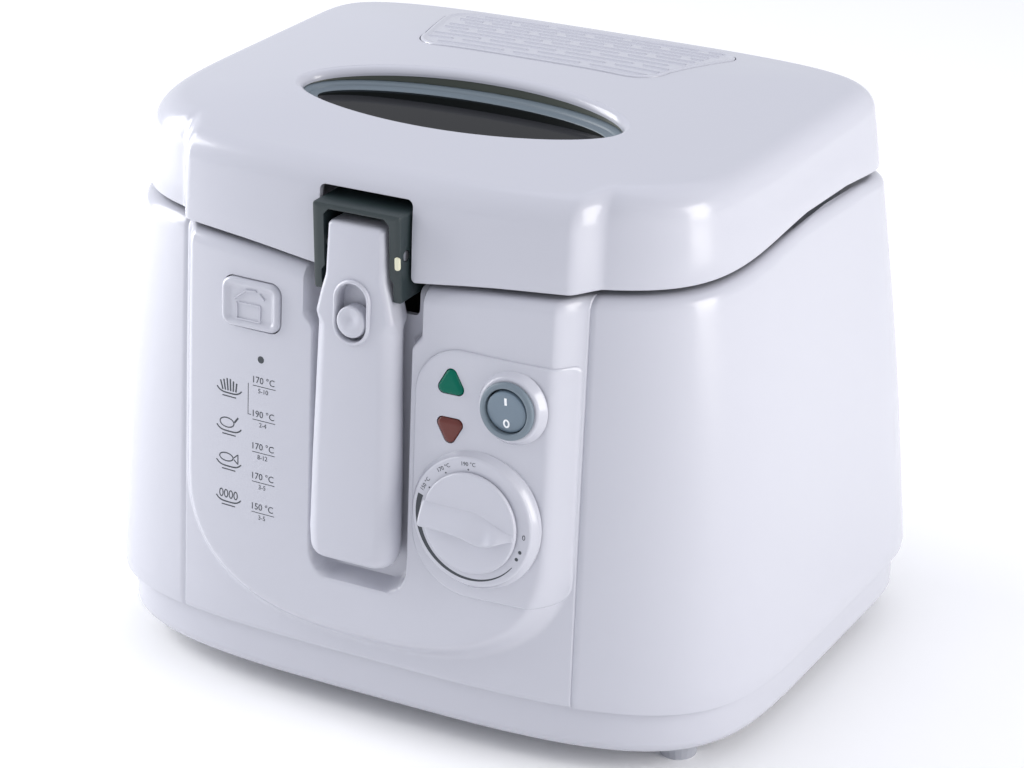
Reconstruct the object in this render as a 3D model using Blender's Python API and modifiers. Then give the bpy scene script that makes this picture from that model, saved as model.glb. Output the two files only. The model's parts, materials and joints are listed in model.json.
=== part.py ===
"""Household deep fryer: drafted plastic housing, hinged lid with window and filter, lifting basket.

Metres, +Z up, the front faces -Y.  The origin is the bottom centre of the object's box.
The housing's plan is one superellipse whose size changes with height, so every shell that
follows it (base, walls, lid, bowl, basket) is the same outline with another inset.
"""

import math

import bmesh
import bpy
import numpy as np
from mathutils import Matrix, Vector

COLLECTION = "deep_fryer"

# ---- driving dimensions ------------------------------------------------------------------
SEAM_Z = 0.0303            # seam between base tray and walls
BODY_TOP = 0.1985          # top face of the walls' rim
LID_Z = 0.2013             # lower edge of the lid
HALF_LOW, HALF_TOP = 0.1520, 0.1362      # half width at SEAM_Z and at LID_Z
FRONT_LOW, FRONT_TOP = -0.1053, -0.0925  # y of the front wall at the same heights
REAR_LOW, REAR_TOP = 0.1270, 0.1159      # y of the rear wall
WIDEST_Y = 0.0521          # y where the plan is widest
BARREL = 0.0020            # how far the walls bulge at half height
P_SIDE, Q_FRONT, Q_REAR = 3.4, 6.7, 6.0  # superellipse exponents of the plan
WALL = 0.0024              # moulded wall thickness
GAP = 0.0004               # clearance left between neighbours

FOOT_H = 0.0090
FOOT_R = 0.0085
BASE_Z = 0.0090
BASE_INSET = 0.0042        # the base steps in under the walls

PANEL_X = 0.0911           # half width of the front panel between its two seams
SHIELD = 0.0085            # how far the shield on the front stands proud
SHIELD_EDGE = 0.0100       # width of the shield's soft side
SHIELD_FOOT_Z = 0.0370     # lowest point of the shield's round lower edge
SHIELD_KNEE_Z = 0.1000     # height where its straight sides turn into the round edge
RECESS_X, RECESS_FOOT_Z = 0.0250, 0.0670  # handle recess in the shield
RECESS_CORNER = 0.0090
NOTCH_X = 0.0208           # half width of the bracket's notch
NOTCH_LOW, NOTCH_HIGH = 0.1840, 0.2290
NOTCH_BACK_Y = -0.0783
BRACKET_TOP_Z = 0.2240

LID_SHOULDER_Z = 0.2270    # where the lid's side turns into its round shoulder
LID_SHOULDER_R = 0.0120
CROWN_Z = 0.2470           # highest point of the lid
LID_WALL = 0.0026
LID_CENTRE_Y = 0.0080      # the crown's highest point
WINDOW_Y, WINDOW_A, WINDOW_B = -0.0260, 0.0716, 0.0276
FILTER_FRONT_Y, FILTER_REAR_Y = 0.0300, 0.0970
FILTER_FRONT_X, FILTER_REAR_X = 0.0580, 0.0690
FILTER_CORNER = 0.0150

HINGE_Y, HINGE_Z = 0.1222, 0.2030
HINGE_X = 0.0500
PIN_R = 0.0020
PIN_CLEAR = 0.0003

HANDLE_PIN_Y, HANDLE_PIN_Z = -0.1010, 0.2070
HANDLE_TOP_Z, HANDLE_FOOT_Z = 0.2175, 0.0820

HANDLE_LEAN = math.atan(0.0850)    # the grip's hollow, slot and slide lean back by this
SLIDE_SLOT_W, SLIDE_SLOT_H, SLIDE_SLOT_Z = 0.0138, 0.0236, 0.1830
SLIDE_R = 0.0064
SLIDE_REST = 0.0013        # gap under the slide at rest
SLIDE_Z = SLIDE_SLOT_Z - SLIDE_SLOT_H / 2 + SLIDE_SLOT_W / 2 + SLIDE_REST

KNOB_X, KNOB_Z, KNOB_R = 0.0533, 0.1068, 0.0200
BOSS_FOOT_R, BOSS_TOP_R = 0.0278, 0.0250
BOSS_FACE = -0.0045        # face of the dial boss and of the switch collar, proud of the shield
SWITCH_X, SWITCH_Z, SWITCH_R = 0.0672, 0.1550, 0.0115
SWITCH_BARREL_R = 0.0105
ROCKER_AXIS = 0.0035       # the rocker's pivot, in front of the shield's face
ROCKER_REST = math.radians(8.0)    # it rests with its lower half pressed in
LENS_X, LENS_R = 0.0410, 0.0052
GREEN_Z, RED_Z = 0.1600, 0.1420
RELEASE_X, RELEASE_Z = -0.0510, 0.1740
RELEASE_W, RELEASE_H = 0.0272, 0.0200
LATCH_Y = -0.0918          # centre of the latch hook's strip
INLET_X, INLET_Z = -0.0900, 0.0450
GLAND_END_Y = 0.12893      # rear face of the cord's gland

BOWL_RIM_INSET, BOWL_MOUTH_INSET, BOWL_FLOOR_INSET = 0.0160, 0.0255, 0.0320
BOWL_FLOOR_Z = 0.0480
BOWL_WALL = 0.0015
BASKET_TOP_Z, BASKET_FLOOR_Z = 0.1500, 0.0600
BASKET_INSET = 0.0335
BASKET_WALL = 0.0008

CENTRE_Y = 0.0047          # middle of the whole depth, moved to y = 0 when everything is built

# ---- derived: the front leans back, so everything mounted on it shares one tilt ----------
DRAFT = math.atan2(FRONT_TOP - FRONT_LOW, LID_Z - SEAM_Z)
INWARD = Vector((0.0, math.cos(DRAFT), -math.sin(DRAFT)))

COLOURS = {                # colour, roughness, metallic
    "white_plastic": ((0.80, 0.80, 0.84), 0.22, 0.0),
    "grey_plastic": ((0.21, 0.25, 0.28), 0.35, 0.0),
    "dark_plastic": ((0.030, 0.042, 0.045), 0.38, 0.0),
    "green_lens": ((0.004, 0.26, 0.15), 0.12, 0.0),
    "red_lens": ((0.30, 0.035, 0.025), 0.12, 0.0),
    "coated_aluminium": ((0.045, 0.045, 0.048), 0.40, 0.6),
    "steel": ((0.55, 0.55, 0.56), 0.28, 1.0),
    "brass": ((0.65, 0.45, 0.18), 0.30, 1.0),
    "rubber": ((0.10, 0.10, 0.11), 0.70, 0.0),
    "silicone": ((0.19, 0.22, 0.25), 0.45, 0.0),
    "glass": ((0.02, 0.025, 0.03), 0.05, 0.0),
    "ceramic": ((0.75, 0.72, 0.66), 0.55, 0.0),
    "filter_fleece": ((0.70, 0.70, 0.66), 0.90, 0.0),
    "charcoal": ((0.02, 0.02, 0.02), 0.95, 0.0),
}


# ---- scene and small tools ---------------------------------------------------------------
def clear_scene():
    """Remove whatever objects the file opened with."""
    for obj in list(bpy.data.objects):
        bpy.data.objects.remove(obj)


def collection(name):
    """A fresh collection linked to the scene."""
    made = bpy.data.collections.new(name)
    bpy.context.scene.collection.children.link(made)
    return made


def material(name):
    """The Principled material of one finish, made once."""
    found = bpy.data.materials.get(name)
    if found:
        return found
    colour, rough, metal = COLOURS[name]
    made = bpy.data.materials.new(name)
    made.use_nodes = True
    shader = made.node_tree.nodes["Principled BSDF"]
    shader.inputs["Base Color"].default_value = (*colour, 1.0)
    shader.inputs["Roughness"].default_value = rough
    shader.inputs["Metallic"].default_value = metal
    made.diffuse_color = (*colour, 1.0)
    return made


def place(name, mesh, finish=None, parent=None, location=(0, 0, 0), rotation=(0, 0, 0)):
    """An object for a mesh, in the parts' collection, or among the cutters when it has no finish."""
    obj = bpy.data.objects.new(name, mesh)
    obj.location = location
    obj.rotation_euler = rotation
    if finish:
        mesh.materials.append(material(finish))
        PARTS.objects.link(obj)
    else:
        CUTTERS.objects.link(obj)
        obj.hide_render = True
        obj.display_type = "WIRE"
    if parent:
        obj.parent = parent
        obj.matrix_parent_inverse = Matrix.Translation(-parent.location)
    return obj


def pivot(name, location):
    """An empty on a joint's axis, the parent of everything that turns or slides there."""
    empty = bpy.data.objects.new(name, None)
    empty.location = location
    PARTS.objects.link(empty)
    return empty


def smooth(mesh, angle=35.0):
    """Shade a mesh smooth, with its corners kept sharp."""
    mesh.shade_smooth()
    mesh.set_sharp_from_angle(angle=math.radians(angle))


def block(size, bevel=0.0, segments=2):
    """A box mesh centred on the origin, its edges rounded by bevel."""
    bm = bmesh.new()
    bmesh.ops.create_cube(bm, size=1.0)
    bmesh.ops.scale(bm, vec=size, verts=bm.verts)
    if bevel:
        bmesh.ops.bevel(bm, geom=bm.edges[:], offset=bevel, segments=segments, affect="EDGES",
                        profile=0.5)
    return finish_mesh(bm)


def rod(radius, length, axis="Z", sides=24, radius_top=None):
    """A capped cylinder or cone mesh centred on the origin along one axis."""
    bm = bmesh.new()
    top = radius if radius_top is None else radius_top
    bmesh.ops.create_cone(bm, cap_ends=True, segments=sides, radius1=radius, radius2=top,
                          depth=length)
    turn = {"Z": Matrix(), "X": Matrix.Rotation(math.pi / 2, 4, "Y"),
            "Y": Matrix.Rotation(-math.pi / 2, 4, "X")}[axis]
    bmesh.ops.transform(bm, matrix=turn, verts=bm.verts)
    return finish_mesh(bm)


def finish_mesh(bm):
    """Write a bmesh out as a smooth-shaded mesh."""
    mesh = bpy.data.meshes.new("mesh")
    bm.to_mesh(mesh)
    bm.free()
    smooth(mesh)
    return mesh


def loft(rings, closed=True, cap=False):
    """A surface through rings of points, bottom ring first and counter-clockwise from above."""
    count = len(rings[0])
    spans = count if closed else count - 1
    verts = [point for ring in rings for point in ring]
    faces = []
    for row in range(len(rings) - 1):
        for col in range(spans):
            after = (col + 1) % count
            low, high = row * count, (row + 1) * count
            faces.append((low + col, low + after, high + after, high + col))
    if cap:
        faces.append(tuple(reversed(range(count))))
    mesh = bpy.data.meshes.new("loft")
    mesh.from_pydata(verts, [], faces)
    smooth(mesh)
    return mesh


def shell(obj, thickness):
    """Give an open surface its wall, on the side away from its normals."""
    thick = obj.modifiers.new("wall", "SOLIDIFY")
    thick.thickness = thickness
    thick.offset = -1.0
    thick.use_even_offset = True
    return obj


def boolean(obj, cutters, operation="DIFFERENCE"):
    """Cut or join other objects into obj, with the exact solver."""
    for cutter in cutters:
        step = obj.modifiers.new(operation.lower(), "BOOLEAN")
        step.operation = operation
        step.solver = "EXACT"
        step.object = cutter
    return obj


def flat_mesh(points, thickness):
    """A slab in XY from an outline: a filled 2D curve with an extrude, made a mesh."""
    curve = bpy.data.curves.new("outline", "CURVE")
    curve.dimensions = "2D"
    curve.fill_mode = "BOTH"
    curve.extrude = thickness / 2
    spline = curve.splines.new("POLY")
    spline.points.add(len(points) - 1)
    for slot, (x, y) in zip(spline.points, points):
        slot.co = (x, y, 0.0, 1.0)
    spline.use_cyclic_u = True
    return curve_mesh(curve)


def tube_mesh(points, radius, closed=False, resolution=2):
    """A round wire along points, its ends capped, made a mesh."""
    curve = bpy.data.curves.new("wire", "CURVE")
    curve.dimensions = "3D"
    curve.bevel_depth = radius
    curve.bevel_resolution = resolution
    curve.use_fill_caps = True
    spline = curve.splines.new("POLY")
    spline.points.add(len(points) - 1)
    for slot, point in zip(spline.points, points):
        slot.co = (*point, 1.0)
    spline.use_cyclic_u = closed
    return curve_mesh(curve)


def curve_mesh(curve):
    """The mesh of a curve, with its loose caps welded."""
    holder = bpy.data.objects.new("curve", curve)
    CUTTERS.objects.link(holder)
    bpy.context.view_layer.update()
    mesh = bpy.data.meshes.new_from_object(holder.evaluated_get(bpy.context.evaluated_depsgraph_get()))
    bpy.data.objects.remove(holder)
    bm = bmesh.new()
    bm.from_mesh(mesh)
    bmesh.ops.remove_doubles(bm, verts=bm.verts, dist=1e-6)
    bmesh.ops.recalc_face_normals(bm, faces=bm.faces)
    bm.to_mesh(mesh)
    bm.free()
    smooth(mesh)
    return mesh


def turned(name, profile, finish, parent=None, location=(0, 0, 0), rotation=(0, 0, 0), steps=32):
    """A turned piece: a profile of (radius, height), down its outer side, spun by a Screw.

    A profile that starts and ends on the axis is left open there; any other is closed.
    """
    mesh = bpy.data.meshes.new(name)
    count = len(profile)
    on_axis = profile[0][0] == 0.0 and profile[-1][0] == 0.0
    edges = [(i, (i + 1) % count) for i in range(count - 1 if on_axis else count)]
    mesh.from_pydata([(r, 0.0, h) for r, h in profile], edges, [])
    obj = place(name, mesh, finish, parent, location, rotation)
    spin = obj.modifiers.new("turn", "SCREW")
    spin.steps = steps
    spin.render_steps = steps
    spin.use_merge_vertices = True
    spin.merge_threshold = 1e-5
    return obj


# ---- the housing's plan ------------------------------------------------------------------
def plan_size(z):
    """Half width, front y and rear y of the housing at height z."""
    t = (z - SEAM_Z) / (LID_Z - SEAM_Z)
    swell = BARREL * math.sin(math.pi * min(max(t, 0.0), 1.0))
    half = HALF_LOW + t * (HALF_TOP - HALF_LOW) + swell
    front = FRONT_LOW + t * (FRONT_TOP - FRONT_LOW)
    rear = REAR_LOW + t * (REAR_TOP - REAR_LOW)
    return half, front, rear


def front_y(x, z, inset=0.0):
    """y of the plain front wall at x: the front half of the superellipse."""
    half, front, _ = plan_size(z)
    half -= inset
    front += inset
    reach = max(1.0 - abs(x / half) ** P_SIDE, 0.0) ** (1.0 / Q_FRONT)
    return WIDEST_Y + (front - WIDEST_Y) * reach


def plan_point(angle, z, inset=0.0, size_z=None):
    """A point of the plan at an angle: 0 is +X, 90 degrees is the rear."""
    half, front, rear = plan_size(z if size_z is None else size_z)
    half -= inset
    c, s = math.cos(angle), math.sin(angle)
    x = math.copysign(half * abs(c) ** (2.0 / P_SIDE), c)
    if s < 0:
        y = WIDEST_Y - (WIDEST_Y - front - inset) * abs(s) ** (2.0 / Q_FRONT)
    else:
        y = WIDEST_Y + (rear - inset - WIDEST_Y) * s ** (2.0 / Q_REAR)
    return Vector((x, y, z))


def plan_ring(z, inset=0.0, count=48, size_z=None):
    """The whole plan as a closed ring."""
    return [plan_point(2 * math.pi * (k + 0.5) / count, z, inset, size_z) for k in range(count)]


def ease(value):
    """A smooth step from 0 to 1."""
    t = min(max(value, 0.0), 1.0)
    return t * t * (3.0 - 2.0 * t)


def shield_inside(x, z):
    """How far inside the shield's outline a point of the front lies, in metres."""
    side = PANEL_X - abs(x)
    if z >= SHIELD_KNEE_Z:
        return side
    drop = SHIELD_KNEE_Z - SHIELD_FOOT_Z
    across = abs(x / PANEL_X) ** 2.5
    down = ((SHIELD_KNEE_Z - z) / drop) ** 2.5
    weight = down / (across + down + 1e-12)
    reach = 1.0 - (across + down) ** 0.4
    return reach * (PANEL_X * (1.0 - weight) + drop * weight)


def shield_rise(x, z):
    """Height of the shield above the plain front wall, with its soft edge."""
    return SHIELD * ease(shield_inside(x, z) / SHIELD_EDGE)


def recess_depth(x, z):
    """Depth of the handle's recess: straight sides and a foot with round corners."""
    beside = abs(x) - (RECESS_X - RECESS_CORNER)
    below = RECESS_FOOT_Z + RECESS_CORNER - z
    reach = math.hypot(max(beside, 0.0), max(below, 0.0)) + min(max(beside, below), 0.0)
    return SHIELD * ease((RECESS_CORNER - reach) / 0.0030)


def face_y(x, z):
    """y of the shield's face, without the recess."""
    return front_y(x, z) - shield_rise(x, z)


def on_face(x, z, depth=0.0):
    """A point depth metres behind the shield's face, along the tilted inward direction."""
    return Vector((x, face_y(x, z), z)) + INWARD * depth


def rounded_rectangle(width, height, radius, arc=5):
    """An outline with four quarter-circle corners, counter-clockwise."""
    points = []
    for corner in range(4):
        sx = 1 if corner in (0, 3) else -1
        sy = 1 if corner in (0, 1) else -1
        for step in range(arc + 1):
            angle = math.pi / 2 * (corner + step / arc)
            points.append((sx * (width / 2 - radius) + radius * math.cos(angle),
                           sy * (height / 2 - radius) + radius * math.sin(angle)))
    return points


def ellipse(a, b, count=48, centre=(0.0, 0.0)):
    """An ellipse's outline."""
    turns = [2 * math.pi * k / count for k in range(count)]
    return [(centre[0] + a * math.cos(t), centre[1] + b * math.sin(t)) for t in turns]


def filter_outline(inset=0.0, arc=6):
    """The filter cover's rounded trapezoid, wider at the rear."""
    corners = [(FILTER_REAR_X, FILTER_REAR_Y), (-FILTER_REAR_X, FILTER_REAR_Y),
               (-FILTER_FRONT_X, FILTER_FRONT_Y), (FILTER_FRONT_X, FILTER_FRONT_Y)]
    points = []
    for index, (x, y) in enumerate(corners):
        cx = x - math.copysign(FILTER_CORNER, x)
        cy = y + (FILTER_CORNER if index > 1 else -FILTER_CORNER)
        for step in range(arc + 1):
            angle = math.pi / 2 * (index + step / arc)
            points.append((cx + (FILTER_CORNER - inset) * math.cos(angle),
                           cy + (FILTER_CORNER - inset) * math.sin(angle)))
    return points


# ---- housing -----------------------------------------------------------------------------
def base_tray():
    """Shallow tray under the walls: rounded foot edge, open top."""
    top = SEAM_Z - GAP
    steps = [(0.0090, BASE_Z), (0.0030, BASE_Z + 0.0014), (0.0005, BASE_Z + 0.0050), (0.0, top)]
    rings = [plan_ring(z, BASE_INSET + inset, size_z=SEAM_Z) for inset, z in steps]
    tray = shell(place("base_tray", loft(rings, cap=True), "white_plastic"), WALL)
    vents = []
    for k in range(5):
        slot = block((0.030, 0.004, 0.012))
        vents.append(place("vent_cutter", slot, location=(0.0, -0.024 + 0.012 * k, BASE_Z)))
    for x, y in screw_places():
        hole = rod(0.0021, 0.012, sides=12)
        vents.append(place("screw_hole", hole, location=(x, y, BASE_Z)))
    return boolean(tray, vents)


def feet():
    """Four round feet standing under the tray."""
    for front_rear, reach, y in (("front", 0.1200, -0.0620), ("rear", 0.1295, 0.0840)):
        for side, x in (("left", -reach), ("right", reach)):
            mesh = rod(FOOT_R * 0.88, FOOT_H - GAP, radius_top=FOOT_R, sides=20)
            place(f"foot_{front_rear}_{side}", mesh, "rubber",
                  location=(x, y, (FOOT_H - GAP) / 2))


def screw_places():
    """Where the four base screws go up into the housing."""
    return [(x, y) for y in (-0.0560, 0.0800) for x in (-0.1000, 0.1000)]


def base_screws():
    """Self-tapping screws that hold the tray: a head below the floor and a shank above it."""
    head_low, floor = BASE_Z - 0.0034, BASE_Z
    profile = [(0.0, floor + 0.0100), (0.0015, floor + 0.0100), (0.0015, floor - GAP),
               (0.0036, floor - GAP), (0.0036, head_low), (0.0, head_low)]
    for index, (x, y) in enumerate(screw_places()):
        turned(f"base_screw_{index + 1}", profile, "steel", location=(x, y, 0.0), steps=12)


def wall_steps():
    """(inset, z) up the housing's wall, over its soft shoulder and in along the rim."""
    body = [(0.0, SEAM_Z), (0.0, 0.0850), (0.0, 0.1400), (0.0, BODY_TOP - 0.0060)]
    arc = [(0.0050 * (1 - math.cos(a)), BODY_TOP - 0.0050 * (1 - math.sin(a)))
           for a in (math.radians(d) for d in (45, 90))]
    return body + arc + [(0.0215, BODY_TOP)]


def body_shell():
    """Sides and rear of the housing in one moulding, open at the front between the seams."""
    rings = []
    for inset, z in wall_steps():
        half = plan_size(z)[0] - inset
        start = math.acos(((PANEL_X + GAP) / half) ** (P_SIDE / 2))
        angles = [-start + (math.pi + 2 * start) * k / 38 for k in range(39)]
        rings.append([plan_point(a, z, inset) for a in angles])
    walls = shell(place("body_shell", loft(rings, closed=False), "white_plastic"), WALL)
    inlet = rod(0.0068, 0.03, axis="Y", sides=20)
    return boolean(walls, [place("inlet_cutter", inlet, location=(INLET_X, REAR_LOW, INLET_Z))])


def panel_mesh():
    """The front panel's outer surface: plain wall, raised shield, and the recess in it."""
    side = [PANEL_X - d for d in (0.0, 0.0030, 0.0060, 0.0100)]
    outer = side + [0.0650, 0.0450]
    inner = [RECESS_X, RECESS_X - 0.0032, 0.0120]
    right = outer + inner
    columns = [-x for x in right] + [0.0] + list(reversed(right))
    heights = [SEAM_Z + 0.0003, 0.0370, 0.0410, 0.0460, 0.0540, 0.0636, 0.0672, 0.0730,
               0.0810, 0.0900, 0.1000, 0.1400, BODY_TOP - 0.0060]
    rings = [[Vector((x, face_y(x, z) + recess_depth(x, z), z)) for x in columns]
             for z in heights]
    for inset, z in wall_steps()[4:]:
        rings.append([Vector((x, face_y(x, z) + recess_depth(x, z) + inset, z))
                      for x in columns])
    return loft(rings, closed=False)


def front_panel():
    """Front of the housing: shield with the handle recess, control bosses and openings."""
    panel = shell(place("front_panel", panel_mesh(), "white_plastic"), WALL)
    lean = (-DRAFT, 0.0, 0.0)
    boss = place("dial_boss", rod(BOSS_TOP_R, 0.0080, "Y", 40, BOSS_FOOT_R), None,
                 location=on_face(KNOB_X, KNOB_Z, -0.0005), rotation=lean)
    collar = place("switch_collar", rod(0.0128, 0.0080, "Y", 32, 0.0165), None,
                   location=on_face(SWITCH_X, SWITCH_Z, -0.0005), rotation=lean)
    boolean(panel, [boss, collar], "UNION")
    cutters = [
        place("shaft_hole", rod(0.0038, 0.03, "Y", 20), None,
              location=on_face(KNOB_X, KNOB_Z), rotation=lean),
        place("switch_hole", rod(SWITCH_BARREL_R + GAP, 0.03, "Y", 32), None,
              location=on_face(SWITCH_X, SWITCH_Z), rotation=lean),
        place("latch_slot", block((0.0110, 0.0066, 0.0100)), None,
              location=(RELEASE_X, LATCH_Y + 0.0016, BODY_TOP)),
        face_slab("release_hole", rounded_rectangle(RELEASE_W + 0.0012, RELEASE_H + 0.0012, 0.0042),
                  0.03, None, RELEASE_X, RELEASE_Z, 0.0),
    ]
    for name, z, turn in (("green_hole", GREEN_Z, 0.0), ("red_hole", RED_Z, math.pi)):
        cutters.append(face_slab(name, rounded_triangle(LENS_R + GAP, turn), 0.03, None,
                                 LENS_X, z, 0.0))
    cutters.append(place("notch_cutter", block((2 * NOTCH_X, 0.0500, 0.0400)), None,
                         location=(0.0, NOTCH_BACK_Y - 0.0250, NOTCH_LOW + 0.0200)))
    return boolean(panel, cutters)


def rounded_triangle(radius, turn, arc=5):
    """A triangle with fat round corners, pointing up when turn is 0."""
    corner = radius * 0.42
    points = []
    for index in range(3):
        heading = math.pi / 2 + turn + index * 2 * math.pi / 3
        cx, cy = (radius - corner) * math.cos(heading), (radius - corner) * math.sin(heading)
        for step in range(arc + 1):
            angle = heading - math.pi / 3 + 2 * math.pi / 3 * step / arc
            points.append((cx + corner * math.cos(angle), cy + corner * math.sin(angle)))
    return points


def face_slab(name, outline, thickness, finish, x, z, depth, parent=None):
    """A slab whose outline lies in the tilted front face, centred depth behind it."""
    mesh = flat_mesh(outline, thickness)
    mesh.transform(Matrix.Rotation(math.pi / 2 - DRAFT, 4, "X"))
    return place(name, mesh, finish, parent, location=on_face(x, z, depth))


# ---- controls ----------------------------------------------------------------------------


def axis_pose(x, z, depth):
    """Location and rotation of a turned piece whose local +Z points out of the front."""
    return {"location": on_face(x, z, depth), "rotation": (math.pi / 2 - DRAFT, 0.0, 0.0)}


def thermostat():
    """Knob with its grip and shaft, and the thermostat behind the panel with its bulb."""
    axis = pivot("thermostat_axis", on_face(KNOB_X, KNOB_Z))
    base, top = -BOSS_FACE + GAP, -BOSS_FACE + 0.0023
    profile = [(0.0, base), (KNOB_R, base), (KNOB_R, top - 0.0010), (KNOB_R - 0.0010, top),
               (0.0, top)]
    knob = turned("knob", profile[::-1], "white_plastic", axis, steps=40,
                  **axis_pose(KNOB_X, KNOB_Z, 0.0))
    grip = block((0.0400, 0.0110, 0.0056), 0.0014, 2)
    grip.transform(Matrix.Translation((-0.0010, -0.0008, top + 0.0018)))
    boolean(knob, [place("grip", grip, None, **axis_pose(KNOB_X, KNOB_Z, 0.0))], "UNION")
    shaft = [(0.0, base - GAP), (0.0030, base - GAP), (0.0030, -0.0085), (0.0, -0.0085)]
    turned("thermostat_shaft", shaft, "steel", axis, steps=16, **axis_pose(KNOB_X, KNOB_Z, 0.0))
    body = block((0.0280, 0.0300, 0.0140), 0.0010, 1)
    body.transform(Matrix.Translation((0.0, 0.0, -0.0165)))
    place("thermostat_body", body, "ceramic", **axis_pose(KNOB_X, KNOB_Z, 0.0))
    start = Vector((KNOB_X, -0.0772, KNOB_Z - 0.0180))
    route = [start, start + Vector((0.004, 0.002, -0.012)), Vector((0.0640, -0.0720, 0.0700)),
             Vector((0.0560, -0.0680, 0.0540)), Vector((0.0480, -0.0560, 0.0420))]
    place("capillary_tube", tube_mesh(route, 0.0008), "brass")
    bulb = rod(0.0020, 0.0520, "X", 16)
    place("thermostat_bulb", bulb, "brass", location=(0.0200, -0.0540, 0.0412))


def rocker_switch():
    """Round rocker: bezel and barrel in one housing, and a pad that tips about X."""
    out = -BOSS_FACE
    barrel = SWITCH_BARREL_R
    profile = [(0.0, -0.0120), (barrel, -0.0120), (barrel, out + GAP), (SWITCH_R, out + GAP),
               (SWITCH_R, out + 0.0016), (SWITCH_R - 0.0006, out + 0.0022), (0.0093, out + 0.0022),
               (0.0093, -0.0060), (0.0, -0.0060)]
    turned("switch_housing", profile[::-1], "grey_plastic", steps=36,
           **axis_pose(SWITCH_X, SWITCH_Z, 0.0))
    axis = pivot("rocker_axis", on_face(SWITCH_X, SWITCH_Z, -ROCKER_AXIS))
    pad = rod(0.0086, 0.0052, sides=36)
    pose = axis_pose(SWITCH_X, SWITCH_Z, -ROCKER_AXIS)
    pose["rotation"] = (math.pi / 2 - DRAFT + ROCKER_REST, 0.0, 0.0)
    place("rocker_pad", pad, "grey_plastic", axis, **pose)
    for side, x in (("left", -0.0045), ("right", 0.0045)):
        tab = block((0.0028, 0.0008, 0.0080))
        tab.transform(Matrix.Translation((x, 0.0, -0.0164)))
        place(f"switch_tab_{side}", tab, "brass", **axis_pose(SWITCH_X, SWITCH_Z, 0.0))


def indicator(name, z, turn):
    """A coloured lens in the panel and the neon lamp behind it."""
    outline = rounded_triangle(LENS_R, turn)
    face_slab(f"{name}_lens", outline, 0.0042, f"{name}_lens", LENS_X, z, 0.0007)
    lamp = rod(0.0021, 0.0100, sides=14)
    lamp.transform(Matrix.Translation((0.0, 0.0, -0.0085)))
    place(f"{name}_lamp", lamp, "glass", **axis_pose(LENS_X, z, 0.0))


def release_button():
    """Lid release: a rounded square that presses in, carrying the latch hook."""
    axis = pivot("release_axis", on_face(RELEASE_X, RELEASE_Z))
    outline = rounded_rectangle(RELEASE_W, RELEASE_H, 0.0038)
    face_slab("release_button", outline, 0.0070, "white_plastic", RELEASE_X, RELEASE_Z, 0.0023,
              axis)
    strip = block((0.0090, 0.0016, 0.0370))
    place("latch_hook", strip, "steel", axis, location=(RELEASE_X, LATCH_Y, 0.1864))
    wire = tube_mesh(coil_points(0.0032, 0.0070, 4, 8), 0.0004, resolution=0)
    wire.transform(Matrix.Rotation(math.pi / 2 - DRAFT, 4, "X"))
    place("release_spring", wire, "steel", location=on_face(RELEASE_X, RELEASE_Z - 0.0015, 0.0225))


def coil_points(radius, length, turns, per_turn):
    """Points of a helix along Z, centred on the origin."""
    count = turns * per_turn + 1
    return [Vector((radius * math.cos(2 * math.pi * k / per_turn),
                    radius * math.sin(2 * math.pi * k / per_turn),
                    length * (k / (count - 1) - 0.5))) for k in range(count)]


# ---- bowl, heater and basket -------------------------------------------------------------
def bowl_ring(z, inset, count=40):
    """A ring of the bowl or basket: the lid seam's plan with an inset."""
    return plan_ring(z, inset, count, size_z=LID_Z)


def oil_bowl():
    """Coated bowl: flange on the housing's rim, tapered wall, rounded floor."""
    floor = BOWL_FLOOR_Z
    steps = [(0.0520, floor), (0.0400, floor + 0.0015), (BOWL_FLOOR_INSET, floor + 0.0110),
             (BOWL_MOUTH_INSET, BODY_TOP - 0.0020), (0.0240, BODY_TOP + 0.0005),
             (BOWL_RIM_INSET, BODY_TOP + 0.0005)]
    rings = [bowl_ring(z, inset) for inset, z in steps]
    return shell(place("oil_bowl", loft(rings, cap=True), "coated_aluminium"), BOWL_WALL)


def heating_element():
    """Tubular heater looped under the bowl, open at the rear, with its shield and cut-out."""
    inset, z = 0.0620, BOWL_FLOOR_Z - 0.0055
    turns = [math.pi / 2 + 0.22 + (2 * math.pi - 0.44) * k / 44 for k in range(45)]
    loop = [plan_point(t, z, inset, LID_Z) for t in turns]
    place("heating_element", tube_mesh(loop, 0.0033), "steel")
    rings = [bowl_ring(z, inset, 40) for inset, z in
             ((0.0500, 0.0270), (0.0440, 0.0275), (0.0400, 0.0330))]
    shell(place("heat_shield", loft(rings, cap=True), "steel"), 0.0006)
    cutout = rod(0.0080, 0.0050, "Z", 24)
    place("thermal_cutout", cutout, "ceramic", location=(0.0, 0.0300, BOWL_FLOOR_Z - 0.0032))
    block_mesh = block((0.0300, 0.0160, 0.0110), 0.0010, 1)
    place("terminal_block", block_mesh, "ceramic", location=(-0.0600, 0.0950, 0.0175))


def supply_inlet():
    """Rubber gland in the rear wall where the supply cord would enter, with its bore open."""
    reach = GLAND_END_Y - 0.1262
    profile = [(0.0038, -0.0100), (0.0064, -0.0100), (0.0064, -0.0030), (0.0064, GAP),
               (0.0095, GAP), (0.0095, reach - 0.0004), (0.0085, reach), (0.0038, reach)]
    turned("cord_gland", profile[::-1], "rubber", steps=24, location=(INLET_X, 0.1262, INLET_Z),
           rotation=(-math.pi / 2, 0.0, 0.0))


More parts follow.
